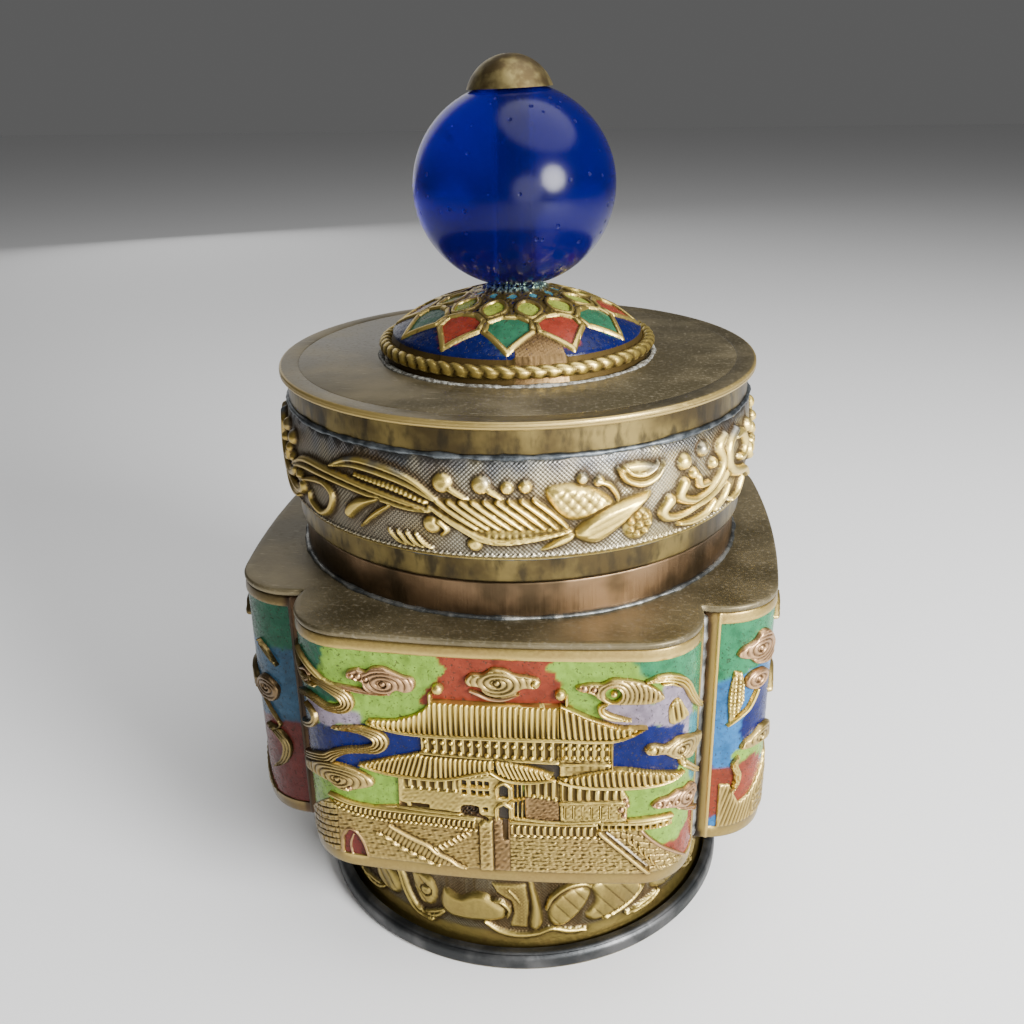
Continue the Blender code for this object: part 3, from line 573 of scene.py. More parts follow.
def foot_motif(art, at):
    """Broad smooth leaves and a horn that stand close together, with engraved veins and curls under them."""
    art.begin(at)

    def veins(x, y, depth):
        return -0.14 * smooth(1.0 - np.abs(np.sin((x - at) * 1.5 + y * 1.1)) / 0.3)

    def crossed(x, y, depth):
        return -0.12 * (np.abs(np.sin(5.2 * (x + y))) * np.abs(np.sin(5.2 * (x - y)))) ** 0.5

    art.plate([(-22.6, 16), (-22.6, 10), (-20, 11.6), (-17.6, 10.4), (-16.2, 12.6), (-13, 12.4), (-10, 13),
               (-8.4, 15), (-3.8, 15.6), (-2.2, 13.8), (3.6, 13.8), (5, 16), (9.4, 15.4), (14, 14.2),
               (19, 15.6), (23, 16), (23, 19.6), (-22.6, 19.6)], 0.3, crossed, 0.6)
    art.plate([(-22, 9.6), (-20.4, 10.8), (-18, 9.8), (-16.6, 7.4), (-17.4, 5.4), (-20, 5.2), (-22.2, 6.6)],
              0.65, veins, 1, round_outline=True)
    art.ribbon([(-17.4, 12.8, 0.3), (-16.2, 10.2, 0.75), (-15.2, 7.4, 0.85), (-13.6, 5.2, 0.8),
                (-10.9, 4.3, 0.5)], 2, 0.7)
    art.plate([(-14.2, 11.6), (-12.2, 12.4), (-10.4, 11.4), (-9.8, 9), (-10.6, 6.8), (-12.6, 6.6),
               (-13.8, 8.6)], 0.6, veins, 0.9, round_outline=True)
    art.knob((-11.6, 9.4), 1, 0.85, eye=0.2)
    art.ribbon([(-12.4, 5, 0.3), (-10.4, 5.4, 0.8), (-8.8, 6.6, 0.4)], 2, 0.6)
    art.plate([(-9.2, 9.8), (-8.4, 11), (-6.2, 10.3), (-4, 11.4), (-2.2, 11.3), (-0.8, 10.1), (0.7, 9.2),
               (0.7, 7.4), (-0.6, 6.5), (-3, 6), (-7.5, 5.8), (-9.4, 7.4)], 0.75, bevel=1.2,
              round_outline=True)
    art.wire([(-1.4, 10.6, 0.2), (0, 10.2, 0.35), (1, 8.9, 0.35), (0.7, 7.6, 0.2)], 0.9)
    art.plate([(-1.6, 13.4), (3.4, 13.4), (3.9, 9.4), (3.6, 5.4), (1, 5.6), (1.5, 8), (1.2, 10.2),
               (-0.8, 11.6)], 0.4, crossed, 0.4)
    art.wire([(0.9, 12.4, 0.16), (2, 11, 0.24), (2.6, 9.8, 0.12)], 0.6)
    art.plate([(3.6, 15.4), (4.8, 12.4), (5.6, 9.2), (5.8, 6.2), (4.8, 4.9), (3.6, 5.8), (3.9, 9.4)], 0.95,
              bevel=1.1, round_outline=True)
    art.wire([(-2.6, 6.4, 0.2), (-0.6, 4.9, 0.5), (2, 4.3, 0.55), (4.8, 4.5, 0.5), (7, 5.2, 0.45),
              (9.2, 4.4, 0.5), (12, 4.1, 0.3)], 0.75)
    art.plate([(6.3, 9.2), (7.4, 11), (9.4, 12.2), (11.6, 12.2), (12.9, 10.8), (12.2, 8.6), (10.6, 6.6),
               (8.6, 5.3), (6.7, 6)], 0.75, veins, 1, round_outline=True)
    art.wire([(6.2, 9, 0.25), (7.2, 11.2, 0.45), (9.4, 12.6, 0.5), (12, 12.4, 0.4), (13.2, 10.9, 0.2)], 0.9)
    art.plate([(12.6, 11.6), (14.6, 12.4), (17.6, 11.6), (20.2, 10.2), (21.4, 8.2), (20, 6.4), (16.8, 5.4),
               (13.2, 4.9), (11.9, 6.6), (13.4, 8.8)], 0.7, veins, 1, round_outline=True)
    art.wire([(14.6, 5.2, 0.25), (17.4, 5.7, 0.4), (20, 6.8, 0.35), (21.6, 8.4, 0.2)], 0.85)
    art.ribbon([(18.6, 4.4, 0.3), (21.6, 4.4, 0.75), (24.4, 5, 0.7), (25.6, 6.8, 0.3)], 2, 0.75)


turn, height, drawing = unrolled(1040, 100, foot_low.z, foot_high.z, FOOT_GIRTH)
ground = smooth((height - FOOT_PLAIN_HEIGHT) / 0.5)
drawing.matting = ground * 0.8
drawing.tint(ground * 0.7, SILVERY)
for k in range(FOOT_REPEATS + 1):
    foot_motif(drawing, (k - FOOT_REPEATS / 2) * FOOT_GIRTH / FOOT_REPEATS)
# Painted shade: the whole band's colour is darkened.
drawing.colour *= FOOT_SHADE_DIMMING
back = np.linspace(foot_high.z, foot_low.z, 12)[:, None]
foot_band = sheet("foot_drum", round_rows(foot_face(height) + drawing.height, turn, height),
                  round_rows(foot_face(back) - SHEET_THICKNESS, turn[:1], back), True, drawing.values())
fitted(thinned(foot_band, FOOT_TRIANGLES), brass_finish, "foot_band")


# Enamelled panels
# Four cast brass plates, each one lobe of the body, with a picture in low relief on a sunk ground. Opaque
# enamel is fused into the ground round the raised work. The front and the back show a gate tower on a brick
# terrace among scrolling clouds, the sides a pavilion on a bank.

LOBE_REACH = 37.1
FACE_RADIUS = 165.0
SHOULDER_RADIUS = 8.25
SHOULDER_OFFSET = 17.8
PANEL_THICKNESS = 1.8
PANEL_END_GAP = 0.25
BORDER_TOP_WIDTH = 1.3
BORDER_FOOT_WIDTH = 2.0
GROUND_DEPTH = 0.55
ENAMEL_DEPTH = 0.2
ENAMEL_ROOT = 0.2
ENAMEL_LAP = 0.15
BORDER_HEIGHT = 0.26
BORDER_BEAD = 0.12
TERRACE_HEIGHT = 31.0
FACE_ANGLE = math.asin(SHOULDER_OFFSET / (FACE_RADIUS - SHOULDER_RADIUS))
FACE_LENGTH = FACE_RADIUS * FACE_ANGLE
FACE_CENTRE = LOBE_REACH - FACE_RADIUS
SHOULDER_CENTRE = FACE_CENTRE + (FACE_RADIUS - SHOULDER_RADIUS) * math.cos(FACE_ANGLE)
NOTCH_ANGLE = math.acos((SHOULDER_CENTRE - SHOULDER_OFFSET) / (SHOULDER_RADIUS * math.sqrt(2))) - math.pi / 4
HALF_LOBE = FACE_LENGTH + SHOULDER_RADIUS * (math.pi / 2 - FACE_ANGLE - NOTCH_ANGLE)
NOTCH_REACH = SHOULDER_OFFSET + SHOULDER_RADIUS * math.cos(NOTCH_ANGLE)
plate_low, plate_high = measures("top_plate")

LIME = (0.12, 0.215, 0.024)
DARK_GREEN = (0.01, 0.06, 0.03)
EMERALD = (0.014, 0.11, 0.045)
RED = (0.13, 0.022, 0.01)
DARK_RED = (0.07, 0.012, 0.009)
COBALT = (0.002, 0.005, 0.055)
LILAC = (0.165, 0.135, 0.17)
TEAL = (0.02, 0.13, 0.15)
STEEL_BLUE = (0.018, 0.05, 0.085)
LIGHT_BLUE = (0.016, 0.09, 0.22)
# Near black: painted shade in windows, doors and recesses, and one dark stain.
DARK_STAIN_AND_RECESS_SHADE = (0.02, 0.016, 0.012)
DULL_BRASS = (0.16, 0.10, 0.04)
# Painted shade on the panels' left side.
SHADED_METAL = (0.045, 0.034, 0.018)
# Grime and painted shade in the notches between the panels.
NOTCH_GRIME_AND_SHADE = (0.014, 0.011, 0.008)


def lobe_outline(along):
    """Points and outward normals of the lobe that faces -Y, by the distance from its middle."""
    distance = np.abs(along)
    side = np.sign(along)
    on_face = distance <= FACE_LENGTH
    shoulder_turn = math.pi / 2 - FACE_ANGLE - (distance - FACE_LENGTH) / SHOULDER_RADIUS
    across = np.where(on_face, np.sin(distance / FACE_RADIUS), np.cos(shoulder_turn))
    outward = np.where(on_face, np.cos(distance / FACE_RADIUS), np.sin(shoulder_turn))
    x = np.where(on_face, FACE_RADIUS * across, SHOULDER_OFFSET + SHOULDER_RADIUS * across)
    y = np.where(on_face, FACE_CENTRE + FACE_RADIUS * outward, SHOULDER_CENTRE + SHOULDER_RADIUS * outward)
    return np.stack([side * x, -y], -1), np.stack([side * across, -outward], -1)


def quarter_turned(points, quarter):
    """Points of the lobe that faces -Y, turned to another lobe."""
    turn = quarter * math.pi / 2
    return points @ np.array([[math.cos(turn), math.sin(turn)], [-math.sin(turn), math.cos(turn)]])


def off_centre(place, pitch):
    """The distance to the nearest of a row of lines with a pitch."""
    return np.abs((place / pitch + 0.5) % 1.0 - 0.5) * pitch


def tiles(pitch, lean=0.0, below=BEYOND, depth=0.3):
    """Roof ribs between wider gutters, which lean over where they lie left of a place."""
    def pattern(x, y, inside):
        place = x - lean * (y - 40.0) * smooth((below - x) / 4.0)
        rib = np.clip(1.0 - (off_centre(place, pitch) / (0.32 * pitch)) ** 2, 0.0, 1.0)
        return depth * (np.sqrt(rib) - 1.0)
    return pattern


def posts(pitch, depth, lean=0.0, share=0.5):
    """Upright posts with sunk gaps between them."""
    def pattern(x, y, inside):
        post = smooth((0.5 * share * pitch - off_centre(x - lean * y, pitch)) / 0.16 + 0.5)
        return depth * (post - 1.0)
    return pattern


def steps(pitch, lean, depth):
    """Narrow treads across a flight of stairs."""
    def pattern(x, y, inside):
        return -depth * (1.0 - smooth(off_centre(x - lean * y, pitch) / (0.35 * pitch)))
    return pattern


def slots(pitch, start, height):
    """A row of oblong holes at a height."""
    def pattern(x, y, inside):
        across = smooth((0.28 - off_centre(x - start, pitch)) / 0.12 + 0.5)
        return -0.5 * across * smooth((0.32 - np.abs(y - height)) / 0.12 + 0.5)
    return pattern


def rough(depth, grain):
    """A worn, uneven face."""
    def pattern(x, y, inside):
        return depth * ripple(x, y, grain, 9)
    return pattern


def brackets(pitch, course, depth=0.14):
    """Rows of small square blocks."""
    def pattern(x, y, inside):
        across = smooth(1.6 * (0.5 + 0.5 * np.cos(math.tau * x / pitch)))
        up = smooth(1.8 * (0.5 + 0.5 * np.cos(math.tau * y / course)))
        return depth * (across * up - 1.0)
    return pattern


def bricks(length, course, depth=0.1, lean=0.0):
    """Courses of bricks with staggered joints, worn uneven, which climb to the right by a lean."""
    def pattern(x, y, inside):
        level = y - lean * x
        row = np.floor(level / course)
        bed = smooth(2.5 * np.abs(np.sin(math.pi * level / course)))
        joint = smooth(3.0 * np.abs(np.sin(math.pi * (x + 0.5 * length * (row % 2)) / length)))
        return depth * (np.minimum(bed, 0.4 + 0.6 * joint) - 1.0) + 0.04 * ripple(x, y, 0.7, 5)
    return pattern


def rings(eye, pitch, depth=0.26, flat=0.62):
    """A groove that winds out from an eye in flattened turns, inside a raised rim."""
    def pattern(x, y, inside):
        aside, above = (x - eye[0]) * flat, y - eye[1]
        phase = np.hypot(aside, above) / pitch + np.arctan2(above, aside) / math.tau
        return depth * (np.sqrt(np.abs(np.cos(math.pi * phase))) - 1.0) * smooth((inside - 0.16) / 0.16)
    return pattern


def gate_enamel(art):
    """The enamels round the gate tower: lime ground, cobalt water, red, greens and lilac sky."""
    art.colour[:] = LIME
    art.paint([(-31, 56), (-21.4, 56), (-21.3, 52.6), (-22, 51.2), (-22, 49.4), (-20, 48.6), (-19.4, 47.2),
               (-20.4, 46.6), (-24, 46.6), (-31, 46)], DARK_GREEN, 0.5)
    art.paint([(-25, 45.8), (-21, 45.6), (-17, 45.6), (-16.3, 44.4), (-16.6, 43.6), (-19.5, 43.4),
               (-20.3, 42.6), (-22.4, 42.8), (-25, 44.2)], LILAC, 0.45)
    art.paint([(-31, 42.6), (-26, 41.2), (-23.2, 42.4), (-21.4, 42.9), (-20, 42.6), (-15.4, 44), (-8, 43.6),
               (-8, 40.4), (-12, 39.4), (-15, 38.4), (-16.8, 37.8), (-17, 36.9), (-19, 36.6), (-22.6, 37),
               (-26, 35.4), (-31, 32)], COBALT, 0.25)
    art.paint([(-31, 46.4), (-26.6, 45.4), (-24.4, 44), (-24.4, 42.4), (-26.6, 41.2), (-31, 41)], STEEL_BLUE,
              0.5)
    art.paint([(-6.2, 56), (-6, 54), (-5.3, 53.4), (-5.3, 52.6), (-6.2, 51.2), (-7.2, 50.2), (-7.4, 47.6),
               (9, 47.8), (9.5, 49.2), (8.9, 51), (8.7, 52), (7.8, 53), (7.3, 54), (7.2, 56)], RED, 0.2)
    art.paint([(18.2, 56), (18, 54), (19, 52.6), (21, 51.6), (24, 50.2), (25.6, 48), (27.6, 45.6),
               (33, 42.6), (33, 56)], EMERALD, 0.8)
    art.paint([(14.6, 49), (18, 49.2), (21.2, 49.2), (21.6, 51.6), (24, 51), (25.4, 48.8), (26.6, 46.4),
               (27, 43), (25, 42.6), (22.4, 44.6), (20.4, 45.5), (17, 45.2), (14, 45.4)], LILAC, 0.35)
    art.paint([(14.6, 44), (17, 44.5), (19, 45.3), (20.5, 45.6), (22.4, 44.7), (24.2, 44.6), (25, 43.8),
               (25.4, 41), (24.2, 37.8), (22.6, 38), (17, 38.6), (14.6, 38.4)], COBALT, 0.2)
    art.paint([(26.2, 44.6), (28, 44.6), (33, 41), (33, 38), (28, 40.4), (26.4, 41.6)], TEAL, 0.5)
    art.paint([(27, 39), (33, 38), (33, 33), (30, 33), (27, 36.6)], EMERALD, 0.6)
    art.paint([(26.8, 35.4), (28.4, 34), (33, 31.6), (33, 33.8), (29.4, 34.8), (27.4, 36.4)], TEAL, 0.5)
    art.paint([(21.8, 26), (23, 26.8), (24.2, 26.6), (25.6, 27.6), (27.2, 28.6), (28, 30.4), (33, 31.6),
               (33, 20), (25, 20)], RED, 0.3)
    art.paint([(14.9, 51.4), (16.3, 51.4), (16.4, 49.4), (14.3, 49.2), (14, 50.6)], LIME, 0.2)
    art.paint([(-20.4, 22.8), (-20.3, 26), (-19.2, 27.2), (-18.2, 26.8), (-17.2, 24.4), (-17, 22.6)],
              DARK_RED, 0.2)
    # Near black enamel behind the lower storey's doors and windows: painted shade seen through the openings.
    art.paint([(-3.9, 37.3), (0, 37.3), (0, 30.9), (-3.9, 31)], DARK_STAIN_AND_RECESS_SHADE, 0.2)
    art.paint([(0.4, 40.6), (8.9, 40.6), (8.9, 37), (4.5, 37), (4.5, 31), (0.4, 31)], DARK_STAIN_AND_RECESS_SHADE, 0.2)


def terrace(art):
    """The brick terrace: its flank at the left, the middle, the front wall and the flank at the right."""
    art.plate([(-31.5, 20.6), (-31, 24.2), (-27, 27.4), (-24.2, 29.7), (-22.2, 31.2), (-21, 30.6),
               (-20.2, 27.6), (-20.6, 20.6)], 0.14, bricks(1.3, 0.98, 0.2, 0.3))
    art.plate([(-21, 20.6), (-20.8, 30.8), (-11.9, 32.2), (0.6, 31.6), (0.6, 20.6)], 0.1,
              bricks(2.6, 0.82, 0.07))
    art.plate([(0.2, 20.6), (0.2, 31.6), (13.8, 31.2), (16.4, 27.2), (20.6, 22.9), (26.6, 22.8),
               (26.8, 20.6)], 0.16, bricks(2.1, 0.62, 0.13))
    art.plate([(14.4, 30.4), (18.9, 30.2), (20, 28.7), (21.6, 27.1), (23.2, 25.7), (25.2, 24.2),
               (26.8, 22.6), (20.4, 22.6), (19, 24.4), (17, 26.4), (15.2, 28.2)], 0.12,
              bricks(1.5, 0.95, 0.2, -0.22))
    art.wire([(19, 30.1, 0.22), (20.2, 28.6, 0.26), (21.8, 27, 0.26), (23.6, 25.5, 0.24),
              (26.4, 23.2, 0.16)], 0.32, COPPERY)
    for k in range(7):
        art.wire([(17.4 + 0.75 * k, 29.4 - 0.98 * k, 0.1), (17.6 + 0.78 * k, 28.2 - 0.9 * k, 0.16),
                  (18.4 + 0.7 * k, 27.3 - 0.84 * k, 0.08)], 0.3)
    art.wire([(13.5, 31, 0.3), (13.9, 29.6, 0.34), (15, 28.4, 0.34), (17, 26.4, 0.34), (19.2, 24.1, 0.34),
              (20.4, 22.8, 0.28)], 0.55)
    art.wire([(14.7, 29.7, 0.14), (15.9, 28.5, 0.2), (17.9, 26.5, 0.2), (20, 24.3, 0.14)], 0.3, SILVERY)


def arch_and_stairs(art):
    """The small arch and the two flights of stairs."""
    art.plate([(-20.4, 22.8), (-20.2, 25.6), (-19.3, 27), (-18.4, 26.9), (-17.5, 25.3), (-17, 22.8)], -0.6,
              bevel=0.2)
    art.wire([(-20.6, 22.8, 0.16), (-20.4, 25.4, 0.2), (-19.5, 27.1, 0.22), (-18.4, 27, 0.2),
              (-17.4, 25.4, 0.2), (-16.8, 22.8, 0.16)], 0.24, DULL_BRASS)
    art.wire([(-19.2, 22.9, 0.16), (-19.3, 24.6, 0.2), (-18.8, 26.2, 0.14)], -0.06, COPPERY)
    art.plate([(-15.6, 27.2), (-13.2, 28.9), (-8.4, 26.4), (-3, 22.9), (-7.4, 22.6), (-9.4, 23.7),
               (-12.2, 25.1)], 0.16, steps(0.66, 0.5, 0.14))
    art.wire([(-13.6, 28.9, 0.16), (-12.4, 28.1, 0.26), (-10.4, 27, 0.3), (-8.4, 26.1, 0.3),
              (-7.4, 25.1, 0.3), (-5.6, 24.2, 0.28), (-4.6, 23.4, 0.24), (-3.2, 22.9, 0.14)], 0.55)
    art.wire([(-15.8, 27.4, 0.14), (-14.2, 26.8, 0.24), (-12.6, 25.6, 0.28), (-11.2, 24.8, 0.28),
              (-9.8, 24.2, 0.26), (-8.2, 23.3, 0.22), (-6.6, 22.9, 0.14)], 0.5, beads=1.3)
    for k in range(8):
        x, y = -7.3 + 0.62 * k, 25.6 + 0.44 * k
        art.wire([(x - 0.3, y + 0.32, 0.1), (x, y, 0.17), (x + 0.26, y - 0.3, 0.1)], 0.42)


def rails(art):
    """The rails along the terrace's edge."""
    art.plate([(-21.6, 31.4), (-18, 31.2), (-14, 30.9), (-2, 30.7), (-2, 29.5), (-8, 29.8), (-14, 29.8),
               (-17.4, 30), (-20.8, 30.8)], 0.36, posts(0.66, 0.32, 0.1))
    art.wire([(-21.8, 32.2, 0.22), (-20.4, 32, 0.34), (-18, 31.5, 0.3), (-14, 31.3, 0.26), (-8, 31.3, 0.26),
              (-2.2, 31, 0.24)], 0.44)
    art.wire([(-20.8, 30.6, 0.18), (-17.4, 29.8, 0.24), (-14, 29.5, 0.24), (-8, 29.6, 0.24),
              (-2, 29.2, 0.22)], 0.42, beads=0.66)
    art.plate([(2.4, 30.5), (13.4, 30.6), (13.7, 29), (2.4, 28.9)], 0.38, posts(0.85, 0.3))
    art.wire([(2.4, 31, 0.24), (8, 30.9, 0.28), (13.4, 31, 0.3)], 0.52)
    art.wire([(2.4, 28.8, 0.18), (8, 28.8, 0.22), (13.8, 28.8, 0.2)], 0.42, beads=0.85)
    art.plate([(13.6, 29.9), (23.4, 30), (23.6, 31), (22, 31.6), (13.6, 31.2)], 0.4, slots(0.87, 16.3, 30.6))
    art.wire([(13.4, 31.3, 0.18), (17, 31.5, 0.26), (20.2, 31.7, 0.34), (23.2, 31.5, 0.32)], 0.56)


def pillar(art):
    """The pillar in the middle, lit on its left and dark on its right."""
    art.plate([(-1.7, 20.6), (-1.7, 30.4), (-1, 31), (0.3, 31), (0.3, 20.6)], 0.42, rough(0.06, 0.8), 0.4)
    art.plate([(0.2, 20.6), (0.2, 31.4), (2.4, 31.4), (2.4, 20.6)], 0.16, rough(0.06, 0.8), 0.3, DULL_BRASS)
    # A recess at the top of the dark face, painted in shade.
    art.plate([(1.5, 28), (1.4, 31.4), (2.2, 31.4), (2.2, 28)], -0.16, bevel=0.2, colour=DARK_STAIN_AND_RECESS_SHADE)


def lower_storey(art):
    """A plain wall at the left, doors in the middle and a colonnade at the right."""
    art.plate([(-12, 36.6), (-12.1, 32.2), (-4, 31.8), (3, 31.4), (3, 37.8), (-3, 38.2), (-7, 37.2)], 0.2,
              rough(0.035, 0.7), 0.25)
    art.plate([(-11.2, 37), (-11.2, 35.1), (-4.1, 35.1), (-4.1, 37.6), (-7, 37)], 0.34,
              posts(1.15, 0.26, 0, 0.4))
    for k in range(6):
        art.knob((-10.2 + 1.15 * k, 35.25), 0.3, 0.5)
    art.plate([(-12, 32), (-11.9, 32.9), (-11, 32.7), (-10.9, 32.1)], -0.05, bevel=0.15, colour=DULL_BRASS)
    # A window painted in shade.
    art.plate([(-10.4, 32.2), (-10.4, 32.85), (-8, 32.8), (-8, 32.2)], -0.05, bevel=0.15, colour=DARK_STAIN_AND_RECESS_SHADE)
    art.wire([(-12.2, 31.9, 0.14), (-8, 31.75, 0.2), (-4, 31.6, 0.14)], 0.36)
    for row, (low, high) in enumerate(((36.1, 37.0), (34.85, 35.55))):
        for x in (-3.35, -2.2, -1.3, -0.45):
            art.plate([(x - 0.3, low), (x - 0.3, high), (x + 0.28, high), (x + 0.28, low)], -0.6, bevel=0.12)
            art.wire([(x - 0.36, low - 0.05, 0.1), (x + 0.34, low - 0.05, 0.1)], 0.4)
    for k in range(4):
        art.knob((-2.6 + 0.75 * k, 37.6 + 0.15 * k), 0.26, 0.42)
    # A dark damaged stain on the wall.
    art.plate([(-3.8, 32.9), (-2.6, 33.2), (-1.6, 33), (-1.4, 31.9), (-0.4, 31.3), (-0.6, 30.9), (-2, 31.3),
               (-3.7, 31.6)], -0.1, rough(0.12, 0.5), 0.2, DARK_STAIN_AND_RECESS_SHADE, True)
    art.plate([(-1, 32.4), (-1, 33), (-0.4, 33), (-0.4, 32.4)], -0.6, bevel=0.12)
    for left, right, foot, top in ((1.1, 2.25, 34.6, 36.6), (1.0, 2.3, 31.2, 33.4)):
        middle = (left + right) / 2
        art.plate([(left, foot), (left, top - 0.4), (middle, top), (right, top - 0.4), (right, foot)], -0.6,
                  bevel=0.12)
        art.wire([(left - 0.3, foot, 0.16), (left - 0.3, top - 0.4, 0.2), (middle, top + 0.45, 0.22),
                  (right + 0.35, top - 0.3, 0.2), (right + 0.45, foot + 0.4, 0.16)], 0.52)
    art.wire([(2.3, 34, 0.12), (3, 34.4, 0.16), (4.4, 34.7, 0.1)], 0.45)
    for x in (2.9, 3.45, 4.0):
        art.wire([(x, 31.8, 0.16), (x + 0.05, 34, 0.14)], 0.4)
        art.wire([(x, 35, 0.14), (x, 37, 0.12)], 0.38)
    art.plate([(4.3, 31.2), (4.3, 37.6), (7.6, 37.9), (8.8, 37.6), (8.8, 31)], 0.22, rough(0.05, 0.6), 0.25,
              DULL_BRASS)
    art.plate([(4.4, 35), (4.4, 37.6), (8.7, 37.6), (8.7, 34.6)], 0.34, posts(1, 0.3), 0.2)
    for k in range(4):
        art.knob((5.5 + 0.92 * k, 35.2 - 0.15 * k), 0.32, 0.52)
    art.plate([(8.7, 31), (8.7, 38), (12, 37.2), (16.6, 36.8), (17.4, 35), (17.3, 31.4)], 0.36,
              rough(0.05, 0.6), 0.3)
    art.plate([(8.9, 34.6), (8.9, 37.8), (12, 37.2), (16.2, 36.8), (16.4, 34.8)], 0.46, posts(1.12, 0.34),
              0.2)
    art.wire([(8.8, 34.2, 0.22), (12, 34.4, 0.2), (17, 34.5, 0.18)], 0.56)
    for k in range(7):
        art.wire([(9.4 + 1.12 * k, 32, 0.12), (9.4 + 1.12 * k, 33.8, 0.14)], 0.44)
    art.wire([(3, 31.6, 0.18), (8.8, 31.2, 0.2), (13.8, 31.5, 0.2)], 0.5)
    art.knobs([(17.1, 34.8, 0.42), (17.3, 34, 0.36), (16.5, 33.3, 0.45), (16.9, 32.4, 0.42)], 0.55, COPPERY)


def upper_storey(art):
    """Posts with brackets in front, and blocks in courses on the right face."""
    art.plate([(-8.7, 43.6), (-8.7, 40.4), (0.6, 40), (8.8, 40), (8.8, 43.8)], 0.18, rough(0.03, 0.6), 0.25)
    art.plate([(-8.5, 43.4), (-8.5, 40.9), (8.6, 40.7), (8.6, 43.6)], 0.34, posts(1.12, 0.3, 0, 0.45), 0.2)
    for k in range(16):
        x = -8.1 + 1.12 * k
        art.knob((x, 42.5), 0.34, 0.5)
        art.knob((x, 41.15 - 0.02 * k), 0.36, 0.54)
    art.wire([(-8.8, 40.7, 0.18), (0, 40.5, 0.2), (8.8, 40.2, 0.18)], 0.36)
    art.plate([(8.7, 38.2), (8.7, 43.9), (15.2, 43.9), (15.25, 39.6), (13, 38.4)], 0.3,
              brackets(1, 1.2, 0.08), 0.25)
    art.plate([(8.9, 43.6), (8.9, 40.8), (15, 40.6), (15, 43.6)], 0.46, posts(1, 0.24, 0, 0.55), 0.2)
    for k in range(6):
        art.knob((9.5 + 1.0 * k, 42.6), 0.34, 0.6)
        art.knob((9.5 + 1.0 * k, 41.2), 0.36, 0.64)
    art.wire([(8.8, 40.1, 0.2), (12, 40.2, 0.2), (15.2, 40.2, 0.18)], 0.58)
    art.wire([(15.2, 43.8, 0.14), (15.25, 39.6, 0.16)], 0.5)


def roofs(art):
    """The lower roof, its porch and the upper roof."""
    art.plate([(-17.2, 38), (-15, 38.8), (-13, 39.5), (-11, 40.1), (-9.2, 40.7), (-8.4, 40.4), (0.8, 40.4),
               (0.6, 38.9), (-1, 38.5), (-3, 38), (-4.6, 37.4), (-7, 37), (-10, 37), (-14, 37.3)], 0.6,
              tiles(0.62, lean=0.3, below=-6), 0.3)
    art.wire([(-17, 38, 0.1), (-14, 37.2, 0.2), (-10, 36.9, 0.25), (-7, 36.9, 0.26), (-4.6, 37.3, 0.26),
              (-3, 37.8, 0.26), (-1, 38.4, 0.26), (0.4, 38.6, 0.22)], 0.64)
    art.plate([(8.4, 38), (11, 38.5), (13, 39), (15, 39.4), (17, 39.4), (18.6, 39.2), (20.6, 38.8),
               (22.2, 38.4), (23.6, 37.9), (24.4, 37.4), (22, 37), (18, 36.8), (13, 36.8), (10, 37.2)], 0.6,
              tiles(0.76, lean=-0.12), 0.3)
    art.wire([(8.6, 37.6, 0.16), (10.6, 37, 0.25), (13, 36.7, 0.28), (17, 36.7, 0.28), (20, 36.9, 0.25),
              (23, 37.1, 0.2), (24.8, 37.7, 0.1)], 0.66)
    art.wire([(10, 38.3, 0.1), (13, 39.05, 0.12), (16, 39.5, 0.13), (18.6, 39.25, 0.12), (22, 38.5, 0.12),
              (24.2, 37.8, 0.08)], 0.6)
    art.plate([(0.5, 40.5), (2.6, 40.3), (4.6, 39.8), (6.6, 39.2), (8.1, 38.6), (7.6, 37.9), (5, 37.6),
               (2.5, 37.7), (1, 38.4)], 0.72, tiles(0.54, lean=-0.4), 0.3)
    art.wire([(0.1, 38.7, 0.2), (1.5, 37.8, 0.25), (3, 37.4, 0.27), (5, 37.4, 0.27), (8, 37.9, 0.2)], 0.78)
    art.plate([(-7.2, 48.5), (-8, 47.3), (-9, 46.5), (-10, 46), (-12, 45.3), (-15.4, 45), (-15, 44.2),
               (-14, 43.8), (-9, 43.4), (8.9, 43.7), (8.9, 48.4)], 0.56, tiles(0.67), 0.3)
    art.plate([(8.7, 48.6), (9.6, 48.5), (10.6, 47.8), (12, 47), (14, 46.2), (15.6, 45.6), (18.8, 45.5),
               (17.2, 44.4), (15.2, 43.9), (8.7, 43.8)], 0.62, tiles(0.74, lean=-0.1), 0.2)
    art.wire([(-15.6, 44.5, 0.08), (-13, 43.8, 0.18), (-9, 43.45, 0.26), (0, 43.6, 0.32), (8.8, 43.7, 0.33),
              (12, 43.6, 0.3), (15.2, 43.7, 0.24), (17.4, 44.4, 0.16), (19.2, 45.5, 0.08)], 0.66)
    art.wire([(-7.2, 48.5, 0.12), (0, 48.5, 0.14), (8.9, 48.6, 0.12)], 0.6)
    art.wire([(8.9, 48.7, 0.2), (10.6, 47.9, 0.17), (12.2, 47.1, 0.16), (14.2, 46.3, 0.15), (16, 45.7, 0.13),
              (19.4, 45.6, 0.07)], 0.72)
    art.wire([(-7.2, 48.3, 0.24), (-7.15, 49.4, 0.28)], 0.6)
    art.knob((-6.15, 50.25), 0.75, 0.85)
    art.wire([(9.6, 48.9, 0.24), (9.55, 49.9, 0.28)], 0.6)
    art.knob((8.85, 50.2), 0.72, 0.85)


